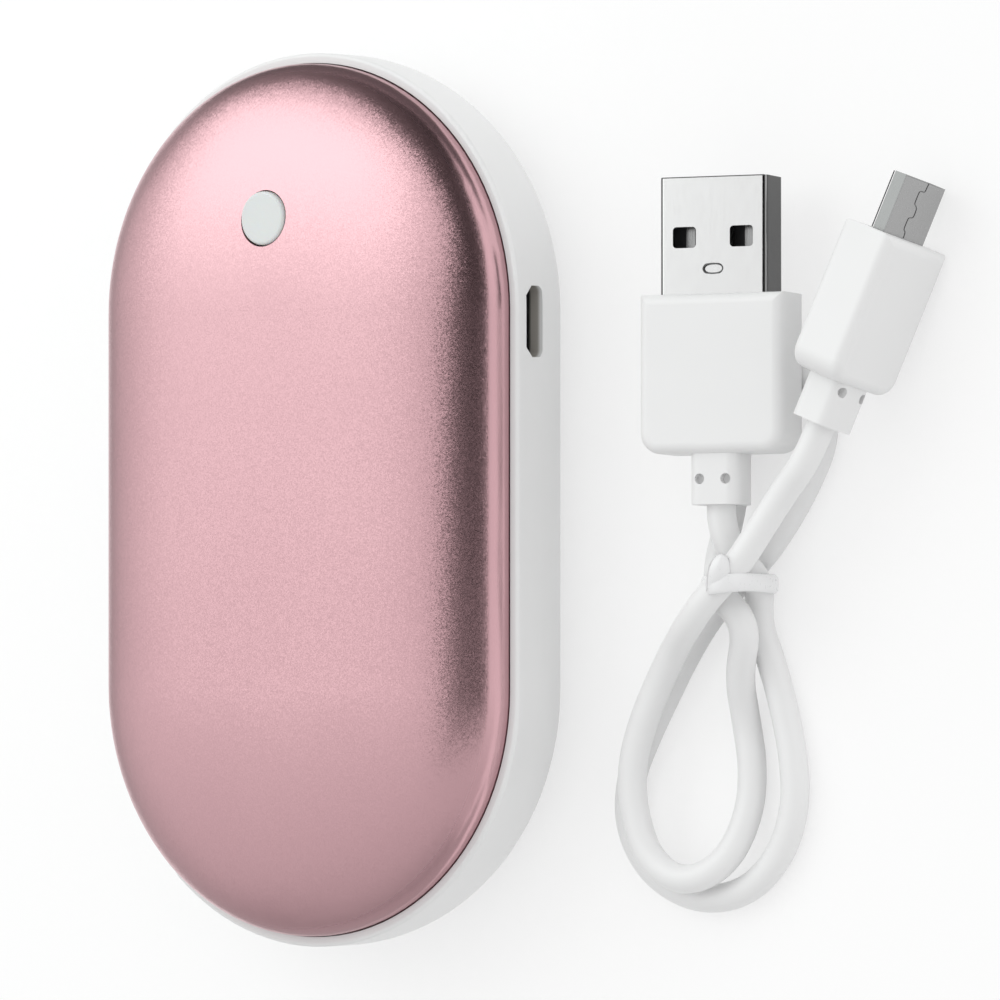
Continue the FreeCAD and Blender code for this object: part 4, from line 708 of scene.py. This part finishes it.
def floor_card(name, corners, greys):
    card(name, [(x, y, CARD_LIFT) for x, y in corners], greys)


# The boxes overlap, so that their light fades in two steps along the dome.
soft_box("key_box", azimuth=133.8, elevation=45.3, distance=0.361, roll=38.2,
         width=0.21, length=0.405, level=0.45)
soft_box("wide_box", azimuth=144.5, elevation=50.3, distance=0.363, roll=29.9,
         width=0.32, length=0.405, level=0.36)

# Dark screen round the right side and the far end: upper edge, lower edge and grey at each post.
SCREEN = [
    ((57, -80, 215), (230, -80, 122), 0.42), ((57, -38, 215), (230, -38, 122), 0.23),
    ((57, -8, 215), (230, -8, 122), 0.13), ((57, 20, 215), (230, 20, 122), 0.03),
    ((66, 45, 222), (232, 62, 112), 0.02), ((100, 88, 240), (224, 144, 92), 0.02),
    ((104, 124, 238), (192, 201, 80), 0.03), ((96, 164, 232), (151, 259, 18), 0.04),
    ((62, 222, 236), (85, 287, 1), 0.05), ((15, 257, 238), (15, 297, 1), 0.08),
    ((-72, 267, 139), (-79, 285, 1), 0.13), ((-149, 245, 80), (-149, 245, 1), 0.18),
    ((-223, 188, 44), (-223, 188, 1), 0.30), ((-267, 103, 31), (-267, 103, 1), 0.45),
]
posts = [corner for upper, lower, grey in SCREEN for corner in (upper, lower)]
post_greys = [grey for upper, lower, grey in SCREEN for corner in (upper, lower)]
panels = [(2 * i, 2 * i + 1, 2 * i + 3, 2 * i + 2) for i in range(len(SCREEN) - 1)]
card("screen", posts, post_greys, panels)
floor_card("far_floor", [(-260, 58), (70, 58), (150, 255), (-180, 255)], [0.3, 0.1, 0.1, 0.3])
floor_card("left_floor", [(-420, -90), (-62, -90), (-62, 80), (-420, 80)], [0.5, 0.45, 0.42, 0.42])
floor_card("near_floor", [(-420, -400), (200, -400), (70, -58), (-420, -58)], [0.5, 0.5, 0.5, 0.5])
card("near_screen", [(-420, -400, CARD_LIFT), (260, -400, CARD_LIFT), (260, -400, 420), (-420, -400, 420)],
     [0.40, 0.40, 0.68, 0.68])

# Sky: it brightens from the near end to the far end, and is dimmer low down on the left. Starts and ends
# are measured along X, Y or Z on a sphere of radius 1.
ALONG_START = -0.6
ALONG_END = 0.3
NEAR_LEVEL = 0.67
FAR_LEVEL = 1.08
LEFT_START = -0.5
LEFT_END = 0.1
LEFT_LEVEL = 0.68
LOW_START = -0.02
LOW_END = 0.4

world = bpy.data.worlds.new("studio")
bpy.context.scene.world = world
world.use_nodes = True
sky = Graph(world.node_tree)
way = sky.split(sky.nodes.new("ShaderNodeTexCoord").outputs["Generated"])
along = sky.span(way["Y"], ALONG_START, ALONG_END, NEAR_LEVEL, FAR_LEVEL)
left = sky.span(way["X"], LEFT_START, LEFT_END, LEFT_LEVEL, 1.0, "SMOOTHSTEP")
height = sky.span(way["Z"], LOW_START, LOW_END, left, 1.0, "SMOOTHSTEP")
sky.put(sky.calc("MULTIPLY", along, height), sky.nodes["Background"].inputs["Color"])
